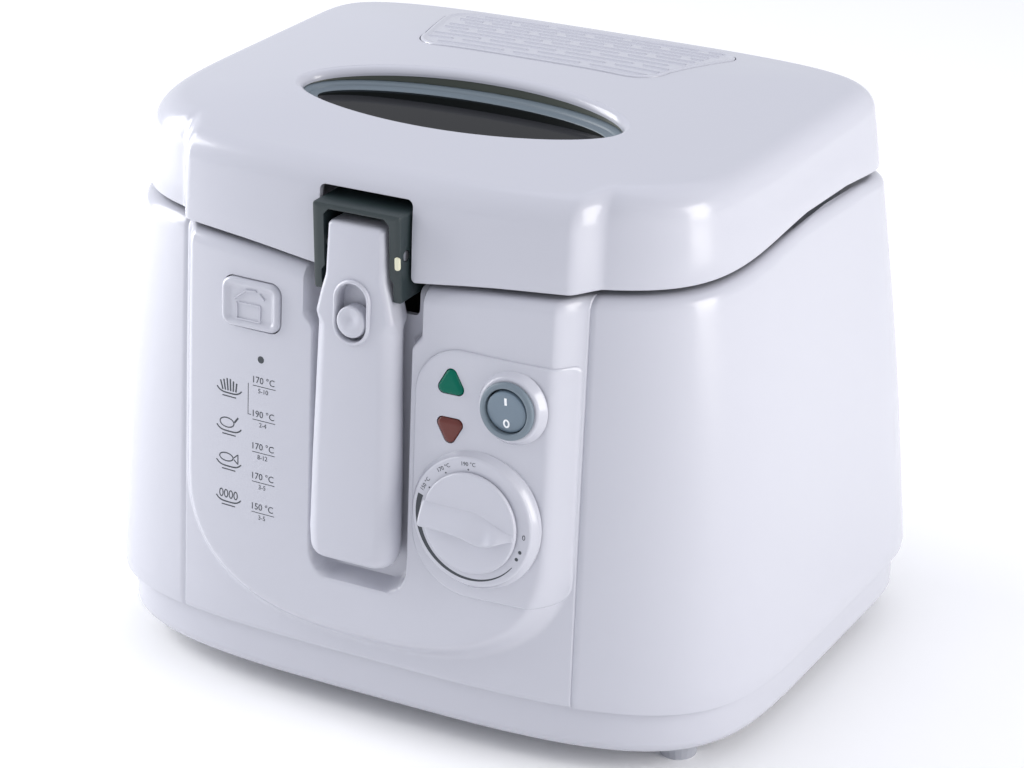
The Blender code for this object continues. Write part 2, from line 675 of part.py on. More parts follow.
def basket():
    """Frying basket, closed here as a plain tub, and the guide that it climbs."""
    axis = pivot("basket_axis", (0.0, 0.0, BASKET_TOP_Z))
    low, high = BASKET_FLOOR_Z, BASKET_TOP_Z
    steps = [(BASKET_INSET + 0.0160, low), (BASKET_INSET + 0.0080, low + 0.0030),
             (BASKET_INSET + 0.0060, low + 0.0100), (BASKET_INSET, high)]
    rings = [bowl_ring(z, inset) for inset, z in steps]
    shell(place("basket", loft(rings, cap=True), "steel", axis), BASKET_WALL)
    top, strip, width = BODY_TOP + 0.0025, 0.0010, 0.0240
    hook = block((width, 0.0170, strip))
    hook.transform(Matrix.Translation((0.0, -0.0700, top + strip / 2)))
    guide = place("basket_guide", hook, "steel")
    drop = block((width, strip, 0.0420))
    leg = place("guide_leg", drop, None, location=(0.0, -0.0620, top - 0.0200))
    return boolean(guide, [leg], "UNION")


# ---- handle ------------------------------------------------------------------------------
def handle_section(z):
    """Half width, front y and rear y of the handle at height z, folded down."""
    stations = [(HANDLE_FOOT_Z, 0.0188), (0.0900, 0.0196), (0.1200, 0.0192), (0.1800, 0.0176),
                (0.1900, 0.0152), (0.1960, 0.0134), (HANDLE_TOP_Z, 0.0126)]
    half = float(np.interp(z, [s[0] for s in stations], [s[1] for s in stations]))
    front = -0.1105 - 0.0946 * (0.1800 - z)
    rear = -0.0955 + 0.0750 * (z - NOTCH_LOW)
    return half, front, rear


def handle_ring(z, squeeze=0.0):
    """One rounded-rectangle section of the handle."""
    half, front, rear = handle_section(z)
    depth = rear - front - 2 * squeeze
    outline = rounded_rectangle(2 * (half - squeeze), depth, 0.0048 - squeeze * 0.5, 3)
    return [Vector((x, (front + rear) / 2 + y, z)) for x, y in outline]


def handle():
    """Folding handle: hollow grip, rear cover, thumb slide, all turning on the bracket's pin."""
    axis = pivot("handle_axis", (0.0, HANDLE_PIN_Y, HANDLE_PIN_Z))
    heights = [(HANDLE_FOOT_Z - 0.0030, 0.0045), (HANDLE_FOOT_Z, 0.0012), (0.0845, 0.0),
               (0.0900, 0.0), (0.1200, 0.0), (0.1800, 0.0), (0.1900, 0.0), (0.1960, 0.0), (0.2150, 0.0),
               (HANDLE_TOP_Z, 0.0018)]
    rings = [handle_ring(z, squeeze) for z, squeeze in heights]
    mesh = loft(rings, cap=True)
    bm = bmesh.new()
    bm.from_mesh(mesh)
    bm.verts.ensure_lookup_table()
    count = len(rings[0])
    bm.faces.new([bm.verts[(len(rings) - 1) * count + k] for k in range(count)])
    bm.to_mesh(mesh)
    bm.free()
    grip = place("handle_grip", mesh, "white_plastic", axis)
    lean = HANDLE_LEAN
    cavity = block((0.0240, 0.0160, 0.1060), 0.0, 1)
    hollow = place("handle_hollow", cavity, None, location=(0.0, -0.0993, 0.1440),
                   rotation=(-lean, 0.0, 0.0))
    bore = place("handle_bore", rod(PIN_R + PIN_CLEAR, 0.0800, "X", 20), None,
                 location=(0.0, HANDLE_PIN_Y, HANDLE_PIN_Z))
    slot = flat_mesh(rounded_rectangle(SLIDE_SLOT_W, SLIDE_SLOT_H, SLIDE_SLOT_W / 2 - 1e-5, 8), 0.02)
    slot.transform(Matrix.Rotation(math.pi / 2 - lean, 4, "X"))
    window = place("slide_slot", slot, None, location=(0.0, -0.1125, SLIDE_SLOT_Z))
    boolean(grip, [hollow, bore, window])
    cover = block((0.0234, 0.0018, 0.1054))
    place("handle_cover", cover, "white_plastic", axis, location=(0.0, -0.1000, 0.1440),
          rotation=(-lean, 0.0, 0.0))
    slide_axis = pivot("slide_axis", (0.0, -0.1125, SLIDE_Z))
    button = rod(SLIDE_R, 0.0075, "Y", 28)
    place("handle_slide", button, "white_plastic", slide_axis, location=(0.0, -0.1095, SLIDE_Z),
          rotation=(-lean, 0.0, 0.0))
    spring = tube_mesh(coil_points(0.0020, 0.0062, 4, 8), 0.0003, resolution=0)
    place("slide_spring", spring, "steel", axis, location=(0.0, -0.1007, 0.1842))
    slide_axis.parent = axis
    slide_axis.matrix_parent_inverse = Matrix.Translation(-axis.location)


def handle_bracket():
    """Dark bracket in the notch: two cheeks, a roof and a back, and the handle's pin."""
    width, back = 2 * (NOTCH_X - 0.0012), NOTCH_BACK_Y - GAP
    front, low, high = -0.1055, 0.1885, BRACKET_TOP_Z
    body = block((width, back - front, high - low), 0.0008, 1)
    bracket = place("handle_bracket", body, "dark_plastic",
                    location=(0.0, (front + back) / 2, (low + high) / 2))
    room = block((width - 0.0070, 0.0400, 0.0500))
    inner = place("bracket_room", room, None,
                  location=(0.0, back - 0.0022 - 0.0200, high - 0.0022 - 0.0250))
    bore = place("bracket_bore", rod(PIN_R + PIN_CLEAR, 0.0800, "X", 20), None,
                 location=(0.0, HANDLE_PIN_Y, HANDLE_PIN_Z))
    boolean(bracket, [inner, bore])
    place("handle_pin", rod(PIN_R, width - 0.0004, "X", 20), "steel",
          location=(0.0, HANDLE_PIN_Y, HANDLE_PIN_Z))


# ---- lid ---------------------------------------------------------------------------------
def lid_ring(z, inset, scale=1.0, count=60):
    """A ring of the lid: the plan with the shield's bulge on the front, drawn in by scale."""
    centre = Vector((0.0, LID_CENTRE_Y, z))
    ring = []
    for point in plan_ring(z, inset, count):
        if point.y < WIDEST_Y:
            point.y -= SHIELD * ease((PANEL_X + 0.0010 - abs(point.x)) / SHIELD_EDGE + 0.3)
        point = centre + (point - centre) * scale
        point.z = z
        ring.append(point)
    return ring


def lid_mesh():
    """The lid's outer surface: side, round shoulder, and a crowned top closed at its centre."""
    shoulder = LID_SHOULDER_Z + LID_SHOULDER_R
    rings = [lid_ring(z, 0.0010) for z in (LID_Z, LID_SHOULDER_Z)]
    for angle in (math.radians(d) for d in (30.0, 60.0, 90.0)):
        inset = 0.0010 + LID_SHOULDER_R * (1 - math.cos(angle))
        rings.append(lid_ring(LID_SHOULDER_Z + LID_SHOULDER_R * math.sin(angle), inset))
    for scale in (0.80, 0.55, 0.30):
        z = CROWN_Z - (CROWN_Z - shoulder) * scale ** 2
        rings.append([Vector((p.x, p.y, z)) for p in
                      lid_ring(shoulder, 0.0010 + LID_SHOULDER_R, scale)])
    mesh = loft(rings)
    bm = bmesh.new()
    bm.from_mesh(mesh)
    tip = bm.verts.new((0.0, LID_CENTRE_Y, CROWN_Z))
    bm.verts.ensure_lookup_table()
    count, first = len(rings[0]), (len(rings) - 1) * len(rings[0])
    for k in range(count):
        bm.faces.new((bm.verts[first + k], bm.verts[first + (k + 1) % count], tip))
    bm.to_mesh(mesh)
    bm.free()
    smooth(mesh)
    return mesh


def prism(name, outline, low, high, finish=None, parent=None):
    """An upright prism between two heights."""
    return place(name, flat_mesh(outline, high - low), finish, parent,
                 location=(0.0, 0.0, (low + high) / 2))


def lid_shells(axis):
    """The moulded lid, and the filter cover cut from the same crowned skin."""
    window = ellipse(WINDOW_A, WINDOW_B, centre=(0.0, WINDOW_Y))
    lid = shell(place("lid_cover", lid_mesh(), "white_plastic", axis), LID_WALL)
    notch = place("lid_notch", block((2 * NOTCH_X, 0.0600, 0.0600)), None,
                  location=(0.0, NOTCH_BACK_Y - 0.0300, NOTCH_HIGH - 0.0300))
    boolean(lid, [prism("window_cutter", window, 0.20, 0.28),
                  prism("filter_cutter", filter_outline(), 0.20, 0.28), notch])
    cover_axis = pivot("filter_cover_axis", (0.0, FILTER_FRONT_Y, CROWN_Z))
    cover_axis.parent = axis
    cover_axis.matrix_parent_inverse = Matrix.Translation(-axis.location)
    cover = shell(place("filter_cover", lid_mesh(), "white_plastic", cover_axis), LID_WALL)
    boolean(cover, [prism("cover_cutter", filter_outline(0.0005), 0.20, 0.28)], "INTERSECT")


def lid_inside(axis):
    """Inner plate, seal, window parts and the filter box under the moulded lid."""
    plate_low, plate_high = 0.2068, 0.2082
    window = ellipse(WINDOW_A - 0.0010, WINDOW_B - 0.0010, centre=(0.0, WINDOW_Y))
    outline = [(p.x, p.y) for p in bowl_ring(0.0, 0.0150)]
    plate = prism("lid_inner", outline, plate_low, plate_high, "steel", axis)
    vent = ellipse(0.0350, 0.0180, 24, (0.0, 0.0640))
    boolean(plate, [prism("inner_window", window, 0.19, 0.22),
                    prism("inner_vent", vent, 0.19, 0.22)])
    outer = prism("lid_seal", [(p.x, p.y) for p in bowl_ring(0.0, 0.0162)], BODY_TOP + 0.0025,
                  plate_low - GAP, "silicone", axis)
    inner = prism("seal_mouth", [(p.x, p.y) for p in bowl_ring(0.0, 0.0225)], 0.19, 0.22)
    relief = place("seal_relief", block((0.0300, 0.0400, 0.0050)), None,
                   location=(0.0, -0.0700, BODY_TOP + 0.0030))
    boolean(outer, [inner, relief])
    glass_low, glass_high = 0.2340, 0.2370
    prism("window_glass", ellipse(0.0800, 0.0360, centre=(0.0, WINDOW_Y)), glass_low, glass_high,
          "glass", axis)
    hollow_prism("window_gasket", (0.0790, 0.0350), (0.0705, 0.0265), glass_high + GAP, 0.2394,
                 "silicone", axis)
    hollow_prism("window_frame", (0.0790, 0.0350), (0.0740, 0.0300), plate_high + GAP,
                 glass_low - GAP, "steel", axis)
    tray = prism("filter_box", filter_outline(-0.0020), plate_high + GAP, 0.2352,
                 "white_plastic", axis)
    room = prism("filter_room", filter_outline(0.0012), plate_high + 0.0020, 0.25)
    mouth = prism("filter_vent", ellipse(0.0340, 0.0170, 24, (0.0, 0.0640)), 0.19, 0.25)
    boolean(tray, [room, mouth])
    prism("grease_filter", filter_outline(0.0022), plate_high + 0.0026, 0.2220,
          "filter_fleece", axis)
    prism("charcoal_filter", filter_outline(0.0022), 0.2226, 0.2330, "charcoal", axis)


def hollow_prism(name, outer, inner, low, high, finish, parent):
    """An elliptical ring round the window."""
    centre = (0.0, WINDOW_Y)
    ring = prism(name, ellipse(*outer, centre=centre), low, high, finish, parent)
    return boolean(ring, [prism(f"{name}_bore", ellipse(*inner, centre=centre), low - 0.01,
                                high + 0.01)])


def lid_catch(axis):
    """The catch inside the lid's front wall, just clear of the latch hook."""
    size = (0.0120, 0.0022, 0.0070)
    place("lid_catch", block(size, 0.0004, 1), "steel", axis,
          location=(RELEASE_X, LATCH_Y - 0.0008 - GAP - size[1] / 2, 0.2070))


def lid_hinges(axis):
    """Two rear hinges: a knuckle on the housing, a knuckle on the lid, and a pin through both."""
    for side, sign in (("left", -1), ("right", 1)):
        x = sign * HINGE_X
        pose = {"location": (x, HINGE_Y, HINGE_Z)}
        bore = place("hinge_bore", rod(PIN_R + PIN_CLEAR, 0.0400, "X", 20), None, **pose)
        for name, owner, shift, low in (("hinge_bracket", None, 0.0060, -0.0200),
                                        ("lid_hinge", axis, -0.0060, 0.0)):
            knuckle = rod(0.0045, 0.0110, "X", 24)
            knuckle.transform(Matrix.Translation((sign * shift, 0.0, 0.0)))
            piece = place(f"{name}_{side}", knuckle, "white_plastic", owner, **pose)
            size = (0.0110, 0.0076, 0.0190) if low else (0.0110, 0.0070, 0.0130)
            web = block(size)
            offset = (sign * shift, -0.0007, -0.0115) if low else (sign * shift, -0.0032, 0.0070)
            web.transform(Matrix.Translation(offset))
            boolean(piece, [place("hinge_web", web, None, **pose)], "UNION")
            boolean(piece, [bore])
        place(f"hinge_pin_{side}", rod(PIN_R, 0.0230, "X", 20), "steel", **pose)


def main():
    """Build every piece, grouped by the body that it moves with."""
    base_tray()
    feet()
    base_screws()
    body_shell()
    front_panel()
    oil_bowl()
    heating_element()
    supply_inlet()
    thermostat()
    rocker_switch()
    indicator("green", GREEN_Z, 0.0)
    indicator("red", RED_Z, math.pi)
    release_button()
    basket()
    handle_bracket()
    handle()
    lid_axis = pivot("lid_axis", (0.0, HINGE_Y, HINGE_Z))
    lid_shells(lid_axis)
    lid_inside(lid_axis)
    lid_catch(lid_axis)
    lid_hinges(lid_axis)
    for obj in bpy.data.objects:
        if obj.parent is None:
            obj.location.y -= CENTRE_Y


clear_scene()
PARTS = collection(COLLECTION)
CUTTERS = collection("cutters")
main()
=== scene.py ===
# %% [markdown]
# # A household deep fryer
#
# A white moulded fryer: walls that lean in towards the top, a raised shield on the front, a
# crowned lid with a lens-shaped window and a ribbed filter cover, a folding basket handle and a
# field of controls.  The engineering model already fixes every size and every joint.  This
# lesson builds the fine surfaces over it, one piece to a cell, from short numpy functions.

# %% Load the fixed frame
import json
import math

import bmesh
import bpy
import numpy as np
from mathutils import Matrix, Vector


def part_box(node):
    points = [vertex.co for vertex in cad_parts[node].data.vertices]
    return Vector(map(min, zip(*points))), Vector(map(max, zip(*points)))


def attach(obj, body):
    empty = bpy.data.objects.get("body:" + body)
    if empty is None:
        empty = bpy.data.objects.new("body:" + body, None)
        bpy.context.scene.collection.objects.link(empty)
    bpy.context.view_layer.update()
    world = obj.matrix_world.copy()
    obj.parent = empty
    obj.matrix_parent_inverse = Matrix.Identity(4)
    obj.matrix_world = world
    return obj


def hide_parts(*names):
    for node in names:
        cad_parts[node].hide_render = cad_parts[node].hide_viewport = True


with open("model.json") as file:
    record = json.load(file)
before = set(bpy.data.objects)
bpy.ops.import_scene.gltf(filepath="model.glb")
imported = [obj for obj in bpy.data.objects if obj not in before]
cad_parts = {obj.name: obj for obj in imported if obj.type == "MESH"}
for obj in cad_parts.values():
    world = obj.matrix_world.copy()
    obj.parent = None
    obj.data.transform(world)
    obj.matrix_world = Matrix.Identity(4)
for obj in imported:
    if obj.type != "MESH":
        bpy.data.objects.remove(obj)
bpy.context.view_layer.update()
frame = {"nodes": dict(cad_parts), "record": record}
nodes = frame["nodes"]
print("parts in the frame:", len(nodes))

# %% [markdown]
# ## From an array of points to a closed piece
#
# Every new piece here is a grid of points.  Rows run along a profile and columns run round the
# piece, so the faces follow from counting alone.  A row whose points all meet becomes a pole,
# and welding closes it.  Faces are then turned outward, which is well defined because each
# piece is closed.

# %% Build a piece from a grid
WELD = 2e-6                # points closer than this are one point
MM = 0.001


def grid_faces(rows, cols, closed):
    """Four corners of every cell of a grid of rows by cols; closed joins the last column on."""
    spans = cols if closed else cols - 1
    row, col = np.meshgrid(np.arange(rows - 1), np.arange(spans), indexing="ij")
    after = (col + 1) % cols
    corners = (row * cols + col, row * cols + after, (row + 1) * cols + after,
               (row + 1) * cols + col)
    return np.stack(corners, axis=-1).reshape(-1, 4)


def piece(name, points, faces, body, finish, stands_for=(), slot=None, corner=38.0):
    """An object for points and faces, welded, turned outward, and riding on a body."""
    mesh = bpy.data.meshes.new(name)
    mesh.from_pydata(points.reshape(-1, 3), [], faces)
    bm = bmesh.new()
    bm.from_mesh(mesh)
    bmesh.ops.remove_doubles(bm, verts=bm.verts, dist=WELD)
    bmesh.ops.recalc_face_normals(bm, faces=bm.faces)
    bm.to_mesh(mesh)
    bm.free()
    mesh.shade_smooth()
    mesh.set_sharp_from_angle(angle=math.radians(corner))
    mesh.materials.append(finish)
    obj = bpy.data.objects.new(name, mesh)
    bpy.context.scene.collection.objects.link(obj)
    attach(obj, body)
    if stands_for:
        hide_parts(*stands_for)
    return obj


def ring_piece(name, rows, body, finish, **more):
    """A closed piece from rings: rows of points round the piece, from one pole to the other."""
    count, around = rows.shape[:2]
    return piece(name, rows, grid_faces(count, around, True), body, finish, **more)


def slab_piece(name, outer, inner, body, finish, **more):
    """A closed wall between an outer and an inner grid of the same shape."""
    rows, cols = outer.shape[:2]
    loop = np.concatenate([outer, inner[:, ::-1]], axis=1)
    side = np.arange(cols - 1)
    low = np.stack([side, side + 1, 2 * cols - 2 - side, 2 * cols - 1 - side], axis=-1)
    high = low + (rows - 1) * 2 * cols
    faces = np.concatenate([grid_faces(rows, 2 * cols, True), low, high])
    return piece(name, loop, faces, body, finish, **more)


def stations(*spans):
    """Sorted values from several (start, stop, count) spans, each value once."""
    joined = np.concatenate([np.linspace(*span) for span in spans])
    return np.unique(np.round(joined, 7))


def ease(value):
    """A smooth step: 0 below 0, 1 above 1, and 3t^2 - 2t^3 between."""
    t = np.clip(value, 0.0, 1.0)
    return t * t * (3.0 - 2.0 * t)


def cut(obj, cutters):
    """Take closed cutters out of a closed piece, and keep the result as its mesh."""
    for cutter in cutters:
        step = obj.modifiers.new("cut", "BOOLEAN")
        step.operation = "DIFFERENCE"
        step.solver = "MANIFOLD"
        step.object = cutter
    bpy.context.view_layer.update()
    graph = bpy.context.evaluated_depsgraph_get()
    made = bpy.data.meshes.new_from_object(obj.evaluated_get(graph))
    obj.modifiers.clear()
    obj.data = made
    for cutter in cutters:
        bpy.data.objects.remove(cutter)
    made.shade_smooth()
    made.set_sharp_from_angle(angle=math.radians(38.0))
    return obj


print("a 3 by 4 grid has", len(grid_faces(3, 4, False)), "cells")

# %% [markdown]
# ## Materials
#
# A finish is a Principled shader plus the small things that tell the eye what it is: how sharp
# its reflections are, and the fine unevenness that moulding, casting or pressing leaves.
# Colours are written as the usual hex codes and turned into linear light by one function.

# %% Nodes and finishes
def linear(code):
    """Linear red, green, blue and alpha of an sRGB hex code."""
    shares = [int(code[i:i + 2], 16) / 255 for i in (0, 2, 4)]
    return (*[s / 12.92 if s <= 0.04045 else ((s + 0.055) / 1.055) ** 2.4 for s in shares], 1.0)


def add(tree, kind, settings=None, **links):
    """Add a shader node, set its plain properties, and fill its inputs with values or sockets."""
    node = tree.nodes.new(kind)
    for name, value in (settings or {}).items():
        setattr(node, name, value)
    for name, value in links.items():
        socket = node.inputs[name.replace("_", " ")]
        if isinstance(value, bpy.types.NodeSocket):
            tree.links.new(value, socket)
        else:
            socket.default_value = value
    return node


def finish(name, colour, rough, grain=2.0, height=0.01, uneven=0.05, metal=0.0, ior=1.5, **more):
    """A material: colour, roughness that wanders by uneven, and bumps grain mm apart, height mm."""
    material = bpy.data.materials.new(name)
    material.use_nodes = True
    tree = material.node_tree
    shader = tree.nodes["Principled BSDF"]
    shader.inputs["Base Color"].default_value = linear(colour)
    shader.inputs["Metallic"].default_value = metal
    if not metal:
        shader.inputs["IOR"].default_value = ior
    for socket, value in more.items():
        shader.inputs[socket.replace("_", " ")].default_value = value
    place = add(tree, "ShaderNodeTexCoord").outputs["Object"]
    broad = add(tree, "ShaderNodeTexNoise", Vector=place, Scale=40.0, Detail=3.0)
    spread = add(tree, "ShaderNodeMapRange", Value=broad.outputs["Fac"],
                 To_Min=max(rough - uneven, 0.02), To_Max=min(rough + uneven, 1.0))
    tree.links.new(spread.outputs["Result"], shader.inputs["Roughness"])
    fine = add(tree, "ShaderNodeTexNoise", Vector=place, Scale=1.0 / (grain * MM), Detail=2.0)
    bump = add(tree, "ShaderNodeBump", Height=fine.outputs["Fac"], Strength=1.0,
               Distance=height * MM)
    tree.links.new(bump.outputs["Normal"], shader.inputs["Normal"])
    return material


# The white ABS has its own cool white darkened to a grey-lavender base: painted shade, so the front
# and top stay in half shade under the bright side lights.
# Gloss moulded ABS: clear reflections, with the faint waviness of a large moulding.
white_abs = finish("gloss white ABS darkened by painted shade", "BEBFC8", 0.22, grain=14.0, height=0.02, uneven=0.012,
                   Coat_Weight=0.25, Coat_Roughness=0.10)
# The handle and knob are touched, so their mould is a little finer and their sheen softer.
# The same cool white darkened to grey-lavender as painted shade.
satin_abs = finish("satin white ABS darkened by painted shade", "BEBFC8", 0.30, grain=6.0, height=0.01, uneven=0.012)
# Grey polyamide of the switch: duller, with a fine spark-eroded grain.
grey_nylon = finish("grey polyamide", "6F7C86", 0.42, grain=0.5, height=0.006, uneven=0.05)
pad_nylon = finish("polished grey polyamide", "6E7E8B", 0.26, grain=0.9, height=0.004)
# Dark glass-filled nylon of the bracket: slightly green, a rough broad highlight.
dark_nylon = finish("dark glass-filled nylon", "283335", 0.38, grain=0.6, height=0.01)
# Transparent tinted lenses with a bright skin.
green_lens = finish("green polycarbonate", "006350", 0.16, grain=1.6, height=0.02, ior=1.58,
                    Specular_IOR_Level=0.12)
red_lens = finish("red polycarbonate", "64302A", 0.16, grain=1.6, height=0.02, ior=1.58,
                  Specular_IOR_Level=0.30)
# Printed ink: almost black, flat.
ink = finish("grey-black pad-printed ink", "3A3F45", 0.55, grain=0.3, height=0.002)
white_ink = finish("white pad-printed ink", "F4F6F8", 0.5, grain=0.3, height=0.002)
# Metals: brushed or drawn, so their roughness wanders more than plastic's.
bright_steel = finish("drawn stainless steel", "C9CACC", 0.30, grain=0.4, height=0.004,
                      uneven=0.025, metal=1.0)
brass = finish("drawn brass", "C9A45C", 0.30, grain=0.4, height=0.004, uneven=0.03, metal=1.0)
coated = finish("non-stick coated aluminium", "2B2C2F", 0.42, grain=0.9, height=0.02, uneven=0.1)
rubber = finish("moulded pale rubber", "A4A6AE", 0.75, grain=0.7, height=0.03)
silicone = finish("grey silicone", "6A767F", 0.45, grain=1.2, height=0.01)
smoked_glass = finish("smoked glass", "06080A", 0.06, grain=30.0, height=0.01, uneven=0.02,
                      ior=1.52, Specular_IOR_Level=0.05)
ceramic = finish("glazed steatite", "D9D4C8", 0.45, grain=1.5, height=0.02)
fleece = finish("filter fleece", "D4D4CC", 0.95, grain=0.8, height=0.35, uneven=0.02,
                Sheen_Weight=0.4)
charcoal = finish("activated charcoal felt", "1D1D1E", 0.95, grain=1.0, height=0.4, uneven=0.02)

SLOT_FINISH = {
    "white_plastic": white_abs, "grey_plastic": grey_nylon, "dark_plastic": dark_nylon,
    "green_lens": green_lens, "red_lens": red_lens, "coated_aluminium": coated,
    "steel": bright_steel, "brass": brass, "rubber": rubber, "silicone": silicone,
    "glass": smoked_glass, "ceramic": ceramic, "filter_fleece": fleece, "charcoal": charcoal,
}
slot_of = {part["node"]: part["material_slot"] for part in frame["record"]["subparts"]}
for name, node in nodes.items():
    node.data.materials.clear()
    node.data.materials.append(SLOT_FINISH[slot_of[name]])
print("finishes:", len(SLOT_FINISH))

# %% [markdown]
# ## The housing's outline
#
# Seen from above the fryer is a superellipse: nearly flat front and rear, full round corners.
# It shrinks with height by the moulding draft.  The same three numbers at each height (half
# width, front, rear) drive the walls, the front panel, the base, the lid and the basket.

# %% Outline functions
shell_low, shell_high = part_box("body_shell")
lid_low, lid_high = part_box("lid_cover")
panel_low, panel_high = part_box("front_panel")
SEAM_Z, BODY_TOP, LID_Z = shell_low.z + 0.2 * MM, shell_high.z, lid_low.z + 0.3 * MM
CROWN_Z = lid_high.z
HALF_LOW, HALF_TOP = 0.1520, 0.1362      # half width at the seam and under the lid
FRONT_LOW, FRONT_TOP = -0.1100, -0.0972  # front wall at the same heights
REAR_LOW, REAR_TOP = 0.1223, 0.1112      # rear wall
WIDEST_Y, BARREL = 0.0474, 0.0020        # widest place, and bulge at half height
P_SIDE, Q_FRONT, Q_REAR = 3.4, 6.7, 6.0  # exponents of the superellipse
WALL = 2.4 * MM
DRAFT = math.atan2(FRONT_TOP - FRONT_LOW, LID_Z - SEAM_Z)
OUT = np.array((0.0, -math.cos(DRAFT), math.sin(DRAFT)))   # out of the leaning front
UP = np.array((0.0, math.sin(DRAFT), math.cos(DRAFT)))     # up along it


def plan_size(z):
    """Half width, front y and rear y at height z: straight draft plus half a sine of bulge."""
    t = (z - SEAM_Z) / (LID_Z - SEAM_Z)
    half = HALF_LOW + t * (HALF_TOP - HALF_LOW) + BARREL * np.sin(np.pi * np.clip(t, 0.0, 1.0))
    return half, FRONT_LOW + t * (FRONT_TOP - FRONT_LOW), REAR_LOW + t * (REAR_TOP - REAR_LOW)


def plan_point(angle, z, inset=0.0, size_z=None):
    """The outline at an angle (0 is +X, 90 degrees the rear): |x/a|^p + |y/b|^q = 1."""
    angle, z, inset = np.broadcast_arrays(angle, z, inset)
    half, front, rear = plan_size(z if size_z is None else size_z)
    c, s = np.cos(angle), np.sin(angle)
    x = np.sign(c) * (half - inset) * np.abs(c) ** (2.0 / P_SIDE)
    ahead = WIDEST_Y - (WIDEST_Y - front - inset) * np.abs(s) ** (2.0 / Q_FRONT)
    behind = WIDEST_Y + (rear - inset - WIDEST_Y) * np.abs(s) ** (2.0 / Q_REAR)
    return np.stack([x, np.where(s < 0, ahead, behind), z], axis=-1)


def front_y(x, z):
    """The plain front wall at x and z: the front half of the superellipse solved for y."""
    half, front, _ = plan_size(z)
    reach = np.clip(1.0 - np.abs(x / half) ** P_SIDE, 0.0, 1.0) ** (1.0 / Q_FRONT)
    return WIDEST_Y + (front - WIDEST_Y) * reach


RIM = 21.5 * MM            # how far the housing's rim reaches in over the bowl
DIP, DIP_W = 7.0 * MM, 46 * MM           # the seam's dip in the middle of the front
ARCH, ARCH_W, ARCH_Y = 7.5 * MM, 60 * MM, 20 * MM   # and its arch along each side
BLEND = 30 * MM            # how gently one gives way to the other
DIP_END_Y, ARCH_START_X = -50 * MM, 80 * MM
CURVE_LOW_Z, CURVE_ABOVE = 0.1500, 24 * MM          # where the curved seam stops mattering


def seam_lift(x, y):
    """The seam under the lid isn't level: it dips in the middle of the front and arches up
    along the sides, each as a bell curve."""
    ahead = 1.0 - ease((y - DIP_END_Y) / BLEND)
    dip = -DIP * np.exp(-(x / DIP_W) ** 2) * ahead
    arch = ARCH * np.exp(-((y - ARCH_Y) / ARCH_W) ** 2)
    return dip + arch * ease((np.abs(x) - ARCH_START_X) / BLEND)


def follow_seam(points, inset=0.0):
    """Raise points by the seam's lift: fully at the seam, fading out below and above it and
    towards the inner edge of the rim."""
    x, y, z = points[..., 0], points[..., 1], points[..., 2]
    below = ease((z - CURVE_LOW_Z) / (BODY_TOP - CURVE_LOW_Z))
    above = 1.0 - ease((z - LID_Z) / CURVE_ABOVE)
    inward = 1.0 - ease(inset / RIM)
    points = points.copy()
    points[..., 2] = z + seam_lift(x, y) * below * above * inward
    return points


print("front leans back", round(math.degrees(DRAFT), 2), "degrees")

# %% [markdown]
# ## Walls and base
#
# The sides and rear are one moulding, open at the front between two seams.  Its profile climbs
# the wall, rolls over a soft 5 mm shoulder and runs in along the rim that carries the bowl.
# Under it the base tray steps in by a few millimetres, so a shadow line runs all round.

# %% Body walls
PANEL_X = panel_high.x
SHOULDER = 5.0 * MM
EDGE = 0.7 * MM            # rounding of the edges at the seams


def wall_profile(low, steps):
    """Rows of (inset, z, tilt) up the wall: plain wall, quarter-round shoulder, flat rim."""
    wall = np.linspace(low, BODY_TOP - SHOULDER, steps)
    turn = np.linspace(0.0, math.pi / 2, 11)[1:]
    inset = np.concatenate([np.zeros(steps), SHOULDER * (1 - np.cos(turn)), [RIM]])
    z = np.concatenate([wall, BODY_TOP - SHOULDER * (1 - np.sin(turn)), [BODY_TOP]])
    tilt = np.concatenate([np.zeros(steps), turn, [math.pi / 2]])
    return inset[:, None], z[:, None], tilt[:, None]


def rolled_edge(distance, radius):
    """How far an edge drops at a distance from its rim when it is rounded to a radius."""
    inside = np.clip(radius - distance, 0.0, radius)
    return radius - np.sqrt(radius ** 2 - inside ** 2)


inset, z, tilt = wall_profile(SEAM_Z, 46)
foot = rolled_edge(z - SEAM_Z, EDGE)
half = plan_size(z)[0] - inset
start = np.arccos(((PANEL_X + 0.35 * MM) / half) ** (P_SIDE / 2))
share = stations((0.0, 0.02, 9), (0.02, 0.98, 181), (0.98, 1.0, 9))[None, :]
angle = -start + (math.pi + 2 * start) * share
seam = rolled_edge(np.minimum(share, 1 - share) * 0.45, EDGE)
outer = plan_point(angle, z, inset + foot + seam)
inner = plan_point(angle, z - WALL * np.sin(tilt), inset + WALL * np.cos(tilt))
outer, inner = follow_seam(outer, inset), follow_seam(inner, inset)
slab_piece("walls", outer, inner, "housing", white_abs, stands_for=("body_shell",),
           slot="white_plastic")

# %% Base tray
STEP_IN = 4.2 * MM
tray_low, tray_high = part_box("base_tray")
turn = np.linspace(0.0, math.pi / 2, 9)
FOOT_ROUND = 6.0 * MM
rise = np.concatenate([tray_low.z + FOOT_ROUND * (1 - np.cos(turn)), [tray_high.z]])
draw = np.concatenate([FOOT_ROUND * (1 - np.sin(turn)), [0.0]]) + STEP_IN
around = np.linspace(0.0, 2 * math.pi, 240, endpoint=False)[None, :]
side = plan_point(around, rise[:, None], draw[:, None], SEAM_Z)
middle = np.array((0.0, 0.005, 0.0))


def drawn_in(ring, shares, z):
    """Copies of a ring drawn in towards the middle to each share of its size, at height z."""
    rings = middle + (ring[None] - middle) * np.asarray(shares)[:, None, None]
    rings[..., 2] = z
    return rings


